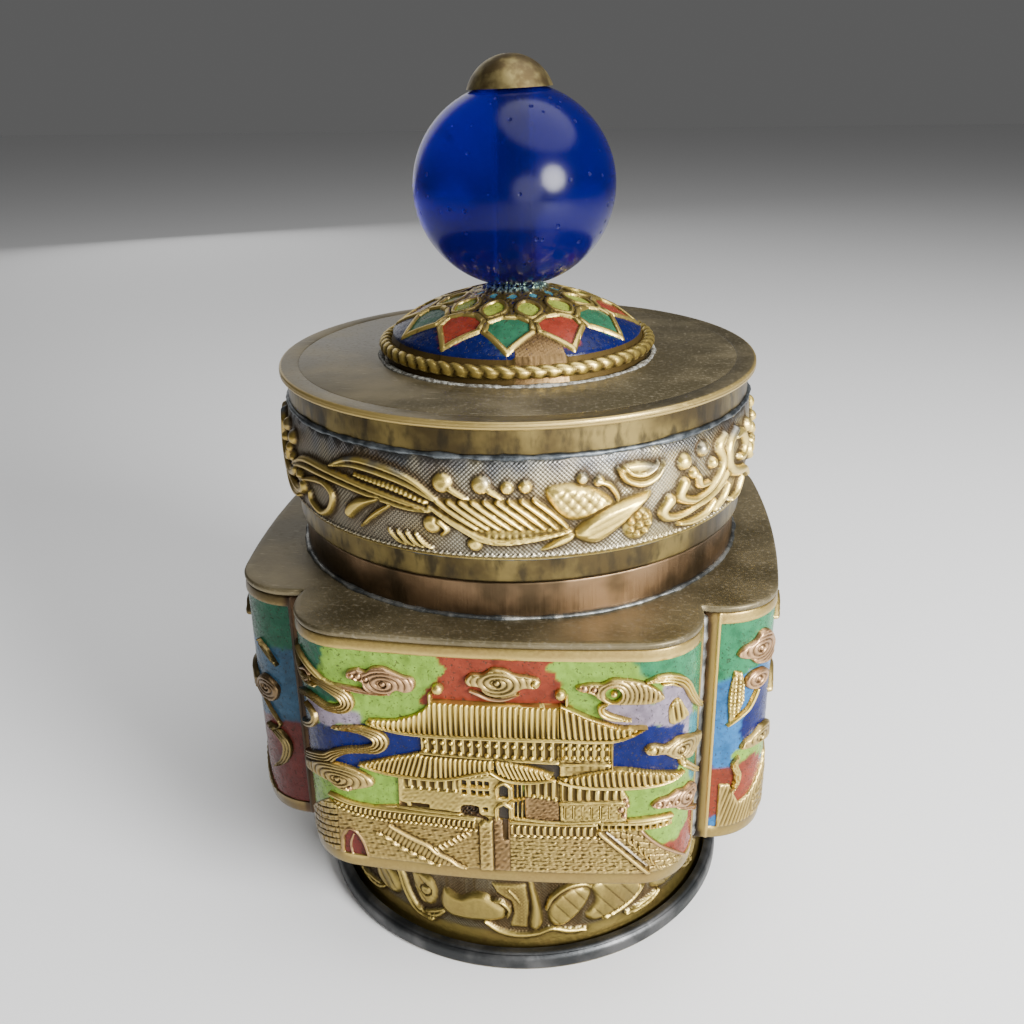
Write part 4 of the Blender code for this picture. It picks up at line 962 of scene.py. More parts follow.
def clouds_above(art):
    """The clouds along the top."""
    art.cloud([(-8.8, 50.7), (-9.2, 49.7), (-10.2, 49.3), (-11.3, 49.5), (-12.2, 48.8), (-13.6, 48.5),
               (-15, 48.9), (-15.7, 49.7), (-15.8, 50.3), (-17.1, 50.5), (-17.8, 51), (-17.5, 51.8),
               (-16.4, 52.2), (-15.2, 52), (-14.4, 52.6), (-13, 52.8), (-11.6, 52.3), (-10.4, 51.8),
               (-9.3, 51.6)], (-13, 50.4), colour=COPPERY)
    art.knobs([(-16.1, 51.2, 0.5), (-17, 51.1, 0.42), (-15.1, 50.9, 0.42)], 0.6, COPPERY)
    art.ribbon([(-12.2, 48.9, 0.1), (-14.5, 48.85, 0.28), (-17, 49.1, 0.36), (-19.6, 49.5, 0.16)], 2, 0.4,
               COPPERY)
    art.cloud([(-2.8, 51.8), (-2.3, 51), (-1, 50.8), (-0.6, 50.2), (0.2, 49.7), (1.8, 49.4), (3.4, 49.9),
               (3.8, 50.5), (4.6, 50.9), (5.9, 50.9), (6.5, 51.6), (6.1, 52.4), (4.9, 52.7), (3.4, 52.9),
               (2.2, 53.5), (0.6, 53.6), (-0.6, 52.8), (-2, 52.7)], (1.2, 51.6))
    art.knob((5.8, 51.7), 0.5, 0.6)
    art.wire([(-2.2, 50.3, 0.12), (-1.2, 49.9, 0.26), (0.2, 49.3, 0.26), (2, 49.3, 0.26), (3.9, 50.1, 0.1)],
             0.48, COPPERY)
    art.cloud([(10.6, 51.3), (11.2, 50.6), (12.6, 50.3), (13.4, 49.6), (14.6, 48.9), (17, 48.8), (20, 48.9),
               (21.4, 49.4), (21.2, 50.2), (20.2, 51.2), (18.8, 52), (17, 52.4), (15, 52.5), (13.8, 51.9),
               (12, 51.8)], (15.2, 50.3), flat=0.9)
    art.plate([(15.2 + 1.0 * math.cos(k), 50.3 + 1.0 * math.sin(k)) for k in np.linspace(0, 6, 20)], -0.6,
              bevel=0.2)
    art.knob((15.3, 50.35), 0.45, 0.6)
    art.knobs([(11.7, 51.05, 0.5), (12.9, 51, 0.42)], 0.6, COPPERY)
    art.ribbon([(14.6, 49, 0.15), (13.8, 48.5, 0.45), (14, 47.6, 0.5), (15.2, 47, 0.45), (17.4, 46.6, 0.12)],
               2, 0.5)
    art.ribbon([(19.2, 52, 0.2), (20.6, 52.3, 0.5), (22.2, 52.1, 0.6), (23.8, 51.3, 0.62),
                (24.9, 50.1, 0.62), (25.9, 48.4, 0.58), (27.2, 46.7, 0.52), (29, 45.2, 0.45),
                (32, 43.4, 0.3)], 3, 0.5)
    art.wire([(21, 51.4, 0.1), (22.4, 51.2, 0.2), (23.7, 50.3, 0.1)], 0.4)
    art.plate([(22.3, 46), (22.2, 47.6), (22.7, 48.5), (23.4, 48.8), (24, 48.4), (24.6, 47.4), (25.4, 46),
               (25, 45.4), (22.8, 45.2)], 0.4, tiles(0.8, lean=-0.2), 0.4, round_outline=True)


def clouds_right(art):
    """The clouds at the right edge."""
    art.cloud([(19.1, 42.1), (19.8, 41.4), (21.6, 41.2), (22.4, 40.6), (23.6, 39.8), (25, 39.2), (26.6, 39),
               (28.4, 39.6), (31.4, 38.6), (31.6, 39.6), (28.6, 41.2), (26.8, 42.1), (25.2, 42.8),
               (23.6, 43.1), (22, 42.6), (20.6, 43), (19.6, 42.9)], (24.3, 41.1))
    art.ribbon([(24.2, 40, 0.3), (24.8, 38.9, 0.55), (26.2, 37.6, 0.5), (28, 36, 0.45), (31.4, 33.4, 0.3)],
               2, 0.5)
    art.knob((20.2, 42.1), 0.62, 0.6)
    art.knob((24.7, 38.9), 0.5, 0.65)
    art.cloud([(20.2, 33.8), (20.8, 33.2), (22.4, 32.8), (24.2, 32.1), (26, 31.3), (27.4, 31.6),
               (28.6, 32.4), (28.2, 33.8), (26.8, 34.6), (25.4, 34.6), (24, 35), (22.4, 34.6), (21.2, 34.6)],
              (26.2, 33), colour=COPPERY)
    art.knobs([(21.3, 33.8, 0.48), (22.6, 33.6, 0.42), (23.8, 33.3, 0.42)], 0.58, COPPERY)
    art.ribbon([(24, 32.2, 0.12), (26, 31, 0.3), (27.4, 30.2, 0.36), (29, 29, 0.36), (32, 27.4, 0.2)], 2,
               0.4, COPPERY)


def streams_left(art):
    """The long cloud streams at the left edge."""
    art.ribbon([(-31, 51.4, 0.3), (-28, 50.4, 0.5), (-25.2, 48.8, 0.6), (-22.6, 48.4, 0.2)], 3, 0.42,
               SCROLL_BRASS)
    art.wire([(-26.6, 52.4, 0.16), (-24.2, 51.3, 0.3), (-22.6, 50.5, 0.36), (-21, 49.8, 0.26),
              (-19.2, 49.4, 0.1)], 0.45)
    art.wire([(-25.8, 49.6, 0.2), (-24, 50.3, 0.3), (-23.3, 49.5, 0.3), (-24.2, 48.6, 0.16)], 0.42, COPPERY)
    art.ribbon([(-25, 49, 0.2), (-22.4, 49.5, 0.42), (-20.4, 49.1, 0.7), (-18.6, 48.2, 0.95), (-17.9, 47, 1),
                (-18.6, 46.1, 0.75), (-20.6, 45.9, 0.5), (-23.2, 46.5, 0.45), (-26, 46, 0.45),
                (-30.6, 43.4, 0.4)], 4, 0.5, SCROLL_BRASS)
    art.ribbon([(-25.4, 44.7, 0.12), (-23.9, 44.2, 0.4), (-23.3, 43.3, 0.5), (-23.9, 42.2, 0.5),
                (-25.6, 41.2, 0.45), (-31, 38.8, 0.3)], 2, 0.45, SCROLL_BRASS)
    art.ribbon([(-20.4, 43, 0.1), (-18.2, 43.2, 0.36), (-16.2, 43.2, 0.62), (-14.6, 42.7, 0.92),
                (-13.9, 41.7, 1.12), (-14.6, 40.7, 0.82), (-16.4, 40.25, 0.5), (-18.6, 39.85, 0.5),
                (-20.4, 38.9, 0.7), (-21.6, 37.9, 0.85), (-24, 37, 0.75), (-27, 35.5, 0.7),
                (-31, 33.2, 0.6)], 4, 0.52, SCROLL_BRASS)
    art.cloud([(-31, 31.4), (-26.6, 33.4), (-24, 34.2), (-21.6, 34.3), (-20.4, 33.7), (-18.9, 33.4),
               (-17.6, 33.9), (-15.8, 34.5), (-15.1, 35.1), (-15.5, 36), (-17, 36.9), (-19, 37.5),
               (-21.2, 37.6), (-23.2, 36.9), (-26, 35.4), (-31, 32.8)], (-20.2, 35.2), pitch=0.46, flat=0.5)
    art.knob((-18.5, 34.1), 0.4, 0.55, COPPERY)


def gate_relief(art):
    """A gate tower with two roofs on a brick terrace, with stairs, rails and scrolling clouds."""
    terrace(art)
    arch_and_stairs(art)
    rails(art)
    pillar(art)
    lower_storey(art)
    upper_storey(art)
    roofs(art)
    clouds_above(art)
    clouds_right(art)
    streams_left(art)


def pavilion_enamel(art):
    """The enamels of the side panels: greens above, water and sky in blues, lime and red below."""
    art.colour[:] = LIGHT_BLUE
    art.paint([(-33, 56), (-8, 56), (-10, 49), (-18, 47.4), (-24, 47.4), (-27.4, 46.8), (-33, 46.4)],
              EMERALD, 0.6)
    art.paint([(12, 56), (33, 56), (33, 47.2), (26, 47.4), (16, 49)], DARK_GREEN, 0.6)
    art.paint([(-9, 56), (13, 56), (15, 50), (8, 46), (-6, 46), (-11, 50)], LIME, 0.4)
    art.paint([(-26.5, 39.8), (-25, 41.2), (-24, 43), (-23.4, 44.8), (-16, 44.6), (-9, 43), (-10, 37.5),
               (-20, 36.6), (-24.2, 36.9), (-26.2, 36.2)], COBALT, 0.4)
    art.paint([(12, 44), (20, 46.4), (33, 47.4), (33, 35), (26, 35.4), (12, 38)], STEEL_BLUE, 0.6)
    art.paint([(-26.2, 35.2), (-14, 35.4), (-12, 31), (-25.8, 32.6)], LIME, 0.3)
    art.paint([(-33, 32.6), (-28.2, 32.4), (-26, 32.8), (-22.6, 33), (-20, 28), (-26, 25), (-33, 25.6)], RED,
              0.3)
    art.paint([(19, 34.6), (33, 35.4), (33, 21), (22, 21), (17, 28)], DARK_RED, 0.5)
    art.paint([(8, 37.4), (17, 37.6), (18.6, 33), (17, 29), (9, 31)], LIME, 0.4)


def pavilion_relief(art):
    """A pavilion with three roofs on a rocky bank, with a latticed hut, clouds and curling waves."""
    art.plate([(-33, 20.6), (-29.2, 22.6), (-29.2, 30), (-27.6, 29.9), (-27, 28.4), (-26, 26.5), (-24.4, 27),
               (-19, 31.4), (-12, 29), (0, 31.2), (12, 28), (18, 29.6), (21, 25.4), (24.6, 22.8),
               (33, 20.6)], 0.2, posts(0.62, 0.16, 0.3), 0.4)
    art.plate([(-24, 20.6), (-23.6, 26), (-19, 29.8), (-12, 27.6), (0, 29.6), (12, 26.6), (18, 27.6),
               (22, 20.6)], 0.26, bricks(1.7, 0.9, 0.14, 0.1), 0.5)
    art.plate([(-28.2, 47.6), (-27, 47.5), (-26.5, 45.5), (-26.4, 43), (-27, 41.4), (-28.4, 39.7),
               (-28.7, 42.5), (-28.7, 44.5)], 0.36, brackets(0.62, 0.56, 0.26), 0.3)
    art.ribbon([(-28.6, 39.5, 0.2), (-27, 40.6, 0.34), (-25.6, 41.6, 0.34), (-24.5, 43.4, 0.34),
                (-24, 45, 0.2)], 1, 0.5)
    for storey in range(3):
        low = 30.4 + 5.4 * storey
        half = 6.0 - 1.3 * storey
        art.plate([(3.0 - half, low), (3.0 + half, low), (3.0 + half, low + 3.6), (3.0 - half, low + 3.6)],
                  0.3, posts(1.1, 0.24, 0, 0.4), 0.25)
        for k in range(5):
            art.knob((3.0 + half * (k - 2) / 2.4, low + 0.5), 0.3, 0.48)
        art.plate([(-half - 0.6, low + 3.1), (3, low + 2.6), (6.6 + half, low + 3.1), (4.0 + half, low + 4),
                   (3.4 + 0.5 * half, low + 5.4), (2.6 - 0.5 * half, low + 5.4), (2.0 - half, low + 4)],
                  0.58, tiles(0.66), 0.3)
        art.wire([(-half - 0.9, low + 3.5, 0.1), (3, low + 2.5, 0.27), (6.9 + half, low + 3.5, 0.1)], 0.66)
    art.knob((3, 47.4), 0.8, 0.8)
    art.cloud([(-28, 50), (-27.2, 49.4), (-26, 49), (-25.2, 48.2), (-23.6, 47.6), (-21.6, 47.6), (-20.8, 50),
               (-22.6, 52.4), (-24.4, 52.7), (-25.6, 51.7), (-27.4, 51)], (-24.3, 50.3), colour=COPPERY)
    art.cloud([(-26.6, 46.2), (-26.2, 44.8), (-24.6, 44.1), (-22.6, 44.6), (-22, 46), (-23.4, 47),
               (-25.4, 47.1)], (-24.3, 45.7), colour=COPPERY)
    art.cloud([(-19, 52), (-15, 50.6), (-11, 51.4), (-12.4, 53.2), (-15.6, 53.6)], (-14.6, 52.2))
    art.cloud([(11, 50.4), (15, 48.8), (20, 49.8), (18.4, 52), (14.6, 52.4)], (15.6, 50.7))
    art.cloud([(-18.6, 40.6), (-15, 38.8), (-10.4, 39.6), (-11.4, 41.8), (-15, 42.4)], (-14.2, 40.7))
    art.cloud([(14.4, 40.6), (18, 39.2), (23.4, 39.8), (22.4, 42.2), (18.2, 42.8)], (18.8, 41))
    art.cloud([(-26.4, 35.2), (-26, 36.4), (-24.6, 36.9), (-22.4, 37.6), (-19, 36.4), (-19.4, 34.2),
               (-22.8, 34.9)], (-22.8, 35.9), flat=0.5)
    art.ribbon([(-26.6, 34.2, 0.14), (-27.2, 33, 0.5), (-26.6, 31.4, 0.48), (-26.7, 30, 0.42),
                (-27.3, 28.6, 0.2)], 3, 0.5)
    art.ribbon([(24.8, 48.4, 0.15), (26.4, 47.2, 0.4), (28, 45.4, 0.2)], 2, 0.5)
    art.cloud([(24.4, 42.8), (26.4, 43), (28, 41.6), (27, 39.4), (24.6, 39), (22.6, 40.4)], (25.6, 41.2),
              colour=COPPERY)
    art.ribbon([(24.6, 34.8, 0.2), (26.8, 34.2, 0.7), (28.2, 32.4, 0.8), (27.4, 29.8, 0.6), (25.4, 28, 0.2)],
               3, 0.5)
    art.wire([(24.6, 39, 0.12), (26, 37.4, 0.2), (27.4, 35.6, 0.2), (26.2, 34.6, 0.12)], 0.36)


def add_panel(name, quarter, node, drawings, side_borders, spacings, triangles, shade_end, grime_and_shade_width):
    """A panel in two pieces: the brass plate with its relief, and the enamel run into its ground.

    Its metal carries grime and painted shade over a width in the notches, and painted shade to the left of
    its shade end.
    """
    enamelling, relief = drawings
    left_border, right_border = side_borders
    half = HALF_LOBE - PANEL_END_GAP
    low, high = measures(node)
    top = plate_low.z

    def curved(along, height, proud):
        points, normals = lobe_outline(along)
        return np.dstack([quarter_turned(points + proud[..., None] * normals, quarter), height])

    def grid(spacing, low_end, high_end, foot, head):
        return np.meshgrid(np.linspace(low_end, high_end, int((high_end - low_end) / spacing)),
                           np.linspace(foot, head, int((head - foot) / spacing)))

    along, height = grid(spacings[0], -half, half, low.z, top)
    drawing = Carving(along, height)
    drawing.height -= GROUND_DEPTH
    relief(drawing)
    edge = np.minimum.reduce([high.z - height - BORDER_TOP_WIDTH, height - low.z - BORDER_FOOT_WIDTH,
                              half + along - left_border, half - along - right_border])
    everywhere = np.ones(edge.shape, bool)
    border = np.where(along < 0, left_border, right_border)
    side_bead = BORDER_BEAD * np.exp(-((half - np.abs(along) - border + 0.3) / 0.2) ** 2)
    foot_roll = np.clip((height - low.z) / BORDER_FOOT_WIDTH, 0.0, 1.0)
    head_roll = np.clip((top - height) / (BORDER_TOP_WIDTH + 0.3), 0.0, 1.0)
    rolled = np.minimum(np.sqrt(1.0 - (1.0 - foot_roll) ** 2), np.sqrt(1.0 - (1.0 - head_roll) ** 2))
    drawing.lay(everywhere, smooth(0.5 - edge / EDGE_SLOPE).ravel(),
                (BORDER_HEIGHT * rolled - BORDER_HEIGHT + side_bead).ravel())
    # Darker below the terrace line, and painted shade along the top border under the plate.
    low_dim_and_top_shade = smooth((TERRACE_HEIGHT - height) / 2.0) + smooth((height - top + 1.9) / 0.6)
    drawing.tint(0.4 * low_dim_and_top_shade, DULL_BRASS)
    # Painted shade: the metal darkens to the left of the shade end.
    drawing.tint(0.85 * smooth((shade_end - along) / 11.0), SHADED_METAL)
    # Grime and painted shade over a width at both ends, in the notches.
    wander = 0.2 * ripple(along, height, 2.6, quarter)
    drawing.tint(smooth((grime_and_shade_width + wander - half + np.abs(along)) / 0.7), NOTCH_GRIME_AND_SHADE)
    behind, back = along[:2], np.array([[top], [low.z]]) + 0.0 * along[:2]
    brass = sheet(name, curved(along, height, drawing.height),
                  curved(behind, back, np.full(back.shape, -PANEL_THICKNESS)), False, drawing.values())
    fitted(thinned(brass, triangles), brass_finish, node)

    along, height = grid(spacings[1], left_border - half - ENAMEL_LAP, half - right_border + ENAMEL_LAP,
                         low.z + BORDER_FOOT_WIDTH - ENAMEL_LAP, high.z - BORDER_TOP_WIDTH + ENAMEL_LAP)
    painting = Carving(along, height)
    enamelling(painting)
    level = 0.02 * ripple(along, height, 1.7, 11 + quarter) - ENAMEL_DEPTH
    behind, back = along[:2], np.vstack([height[-1:], height[:1]])
    enamel = sheet(name + "_enamel", curved(along, height, level),
                   curved(behind, back, np.full(back.shape, -GROUND_DEPTH - ENAMEL_ROOT)), False,
                   {"colour": painting.opaque()})
    fitted(enamel, enamel_finish)


def fused_enamel(name):
    """Opaque enamel, uneven in its colour, with dark pits and a worn gloss."""
    finish = Finish(name, "enamel")
    own_colour = finish.own("colour", "Color")
    cloud = finish.step(finish.noise(1.3, 4.0), 0.35, 0.7)
    deep = finish.step(finish.noise(3.4, 3.0), 0.45, 0.75)
    base = finish.mix(deep * 0.7, own_colour, finish.scaled(own_colour, 0.5))
    base = finish.mix(cloud * 0.65, base, finish.scaled(own_colour, 1.5))
    speck = finish.step(finish.noise(0.34, 2.0), 0.61, 0.68)
    pits = finish.noise(0.7, 3.0)
    finish.shade(Base_Color=finish.mix(speck * 0.7, base, (0.03, 0.025, 0.015)),
                 Specular_IOR_Level=0.13, Roughness=0.18 + pits * 0.16 + speck * 0.3,
                 Normal=finish.bump(pits + speck * -0.7, 0.05))
    return finish


enamel_finish = fused_enamel("fused_enamel")
GATE = (gate_enamel, gate_relief)
PAVILION = (pavilion_enamel, pavilion_relief)
add_panel("gate_panel_front", 0, "panel_front", GATE, (2.3, 1.7),
          spacings=(0.088, 0.3), triangles=178000, shade_end=-17.0, grime_and_shade_width=1.6)
add_panel("pavilion_panel_right", 1, "panel_right", PAVILION, (2.4, 2.0),
          spacings=(0.12, 0.42), triangles=75000, shade_end=-60.0, grime_and_shade_width=1.6)
add_panel("gate_panel_back", 2, "panel_back", GATE, (2.3, 1.7),
          spacings=(0.14, 0.44), triangles=55000, shade_end=-17.0, grime_and_shade_width=1.6)
add_panel("pavilion_panel_left", 3, "panel_left", PAVILION, (2.4, 2.0),
          spacings=(0.12, 0.42), triangles=75000, shade_end=60.0, grime_and_shade_width=2.8)


# Seams
# The panels' ends are soldered together from inside against round rods, and the solder has come through
# the notches between the lobes as a lumpy silvery line.

solder = Finish("grey_solder", "solder")
lumps = solder.noise(0.9, 3.0)
dull = solder.step(solder.noise(3.0, 3.0), 0.4, 0.62)
solder.shade(Metallic=0.9, Base_Color=solder.mix(dull, (0.08, 0.085, 0.085), (0.30, 0.30, 0.28)),
             Roughness=0.28 + lumps * 0.25, Normal=solder.bump(lumps, 0.12))

SEAM_RADIUS = 0.85
SEAM_REACH = NOTCH_REACH + 0.1
seam_foot = measures("panel_front")[0].z + 0.2


def lumpy_rows(count, low, high, radius, seed, sides=12):
    """Rows of rings up a round bead whose thickness wanders, closed to a point at both ends."""
    share = np.linspace(0.0, 1.0, count)
    swell = 1.0 + 0.14 * ripple(share * (high - low), 0.0 * share, 2.6, seed)
    swell *= np.sqrt(np.clip(np.minimum(share, 1.0 - share) * (high - low) / radius, 0.0, 1.0))
    turn = np.linspace(0.0, math.tau, sides, endpoint=False)
    reach = radius * swell[:, None]
    return reach * np.cos(turn), reach * np.sin(turn), (low + share * (high - low))[:, None] + 0.0 * turn


for corner, (x, y) in enumerate(((1, -1), (1, 1), (-1, 1), (-1, -1))):
    refinished("seam_rod_" + str(corner + 1), solder)
    across, outward, up = lumpy_rows(70, seam_foot, plate_low.z - 0.05, SEAM_RADIUS, 20 + corner)
    rows = np.stack([x * SEAM_REACH + across, y * SEAM_REACH + outward, up], -1)
    work = bmesh.new()
    rings_of_points = [[work.verts.new(point * MM) for point in ring_row] for ring_row in rows]
    edges = [work.edges.new((row[k - 1], row[k])) for row in rings_of_points for k in range(len(row))]
    for lower, upper in zip(rings_of_points, rings_of_points[1:]):
        loops = [edge for edge in edges if edge.verts[0] in lower or edge.verts[0] in upper]
        bmesh.ops.bridge_loops(work, edges=loops)
    fitted(finished("seam_solder_" + str(corner + 1), work), solder)


# Top plate
# A flat lobed brass plate, soldered on the panels, with a round hole under the neck.

NECK_OPENING = 29.4
PLATE_EDGE = ((0.32, 0.0), (0.1, 0.07), (0.0, 0.3), (0.0, 0.62), (0.1, 0.83), (0.32, 0.9))


def lobed_ring(inset, samples=72):
    """The outline of all four lobes, moved inwards."""
    half = HALF_LOBE - 0.01
    points, normals = lobe_outline(np.linspace(-half, half, samples))
    return np.concatenate([quarter_turned(points - inset * normals, quarter) for quarter in range(4)])


rim = lobed_ring(0.0)
rim_turn = np.arctan2(rim[:, 1], rim[:, 0])
hole = NECK_OPENING * np.stack([np.cos(rim_turn), np.sin(rim_turn)], -1)
rows = []
for inset, rise in PLATE_EDGE:
    rows.append(np.column_stack([lobed_ring(inset), np.full(len(rim), plate_low.z + rise)]))
for share in (0.08, 0.3, 0.6, 1.0):
    ring_row = lobed_ring(PLATE_EDGE[-1][0]) * (1.0 - share) + hole * share
    rows.append(np.column_stack([ring_row, np.full(len(rim), plate_high.z)]))
under = np.column_stack([hole, np.full(len(rim), plate_low.z)])
top_plate = sheet("lobed_top_plate", np.array(rows), under[None], True)
fitted(top_plate, dusty_brass("dusty_top_plate"), "top_plate")


# Neck ring
# A copper collar on the top plate, brushed upright, with a thin sleeve that stands up inside the lid.
# Grey solder shows along its foot.

neck_low, neck_high = measures("neck_ring")
COLLAR_TOP = 62.0
SLEEVE_RADIUS = 30.2
neck_foot = neck_low.z - 0.25

copper = Finish("brushed_copper", "copper")
brush = copper.noise(0.5, 3.0, (1.0, 1.0, 0.06))
patches = copper.step(copper.noise(7.0, 3.0), 0.4, 0.65)
copper.shade(Metallic=0.95, Base_Color=copper.mix(patches, (0.075, 0.050, 0.026), (0.20, 0.125, 0.066)),
             Roughness=0.26 + brush * 0.22, Normal=copper.bump(brush, 0.03))
neck = turned("copper_neck", eased([
    (NECK_OPENING, neck_high.z, 0.2), (SLEEVE_RADIUS, neck_high.z, 0.2), (SLEEVE_RADIUS, COLLAR_TOP, 0.0),
    (neck_high.x, COLLAR_TOP, 0.25), (neck_high.x, neck_foot, 0.0), (NECK_OPENING, neck_foot, 0.0)]))
fitted(neck, copper, "neck_ring")


def solder_line(name, radius, height, thickness, seed, finish=solder, flat=0.7):
    """A lumpy fillet of solder that runs round the caddy."""
    turns = np.linspace(0.0, math.tau, 300, endpoint=False)
    bend = np.linspace(0.0, math.tau, 10, endpoint=False)[:, None]
    along = turns * radius
    swell = thickness * (1.0 + 0.22 * ripple(along, 0.0 * along, 5.0, seed)
                         + 0.12 * ripple(along, 0.0 * along, 1.6, seed + 1))
    rows = round_rows(radius + swell * np.cos(bend), turns[None], height + flat * swell * np.sin(bend))
    fitted(sheet(name, rows[:-1], rows[-1:], True), finish)


solder_line("neck_solder", neck_high.x + 0.15, plate_high.z + 0.1, 0.42, 31)


# Lid bands
# Three rings of brass soldered one above the other: a plain one over the neck, the embossed one that
# bulges out, and a narrow dark one under the disc. Grey-blue solder shows at both joints.

plain_brass = Finish("plain_brass", "brass")
patches = plain_brass.step(plain_brass.noise(8.0, 4.0), 0.4, 0.64)
brush = plain_brass.noise(0.6, 3.0, (1.0, 1.0, 0.1))
streaks = plain_brass.step(plain_brass.noise(1.6, 5.0, (1.0, 1.0, 0.5)), 0.45, 0.7)
plain_colour = plain_brass.mix(patches, (0.06, 0.043, 0.018), (0.175, 0.13, 0.044))
plain_colour = plain_brass.mix(streaks * 0.85, plain_colour, (0.03, 0.024, 0.014))
plain_brass.shade(Metallic=0.95, Base_Color=plain_colour, Roughness=0.26 + brush * 0.2,
                  Normal=plain_brass.bump(brush, 0.025))

band_low, band_high = measures("lid_lower_band")
BAND_WALL = 1.2
plain_band = turned("lid_plain_band", eased([
    (band_high.x - BAND_WALL, band_low.z, 0.15), (band_high.x, band_low.z, 0.3),
    (band_high.x, band_high.z, 0.1), (band_high.x - BAND_WALL, band_high.z, 0.1)]))
fitted(plain_band, plain_brass, "lid_lower_band")

embossed_low, embossed_high = measures("lid_embossed_band")
EMBOSSED_RADIUS = 32.2
EMBOSSED_SWELL = 0.45
RELIEF_GAIN = 1.35
MIRRORED_SCROLL_START = 43.0
EMBOSSED_OVERHANG = 1.15
SEAT_GAP = 0.03
BAND_GIRTH = 202.4
BAND_TRIANGLES = 155000
SHADED_SIDE_TINT = (0.42, 0.34, 0.3)
SOLDER_STAIN = (0.085, 0.10, 0.12)
embossed_foot = embossed_low.z - EMBOSSED_OVERHANG


def embossed_face(share):
    """The band's radius at a share of its height, swelling in the middle."""
    return EMBOSSED_RADIUS + EMBOSSED_SWELL * np.sin(math.pi * share)


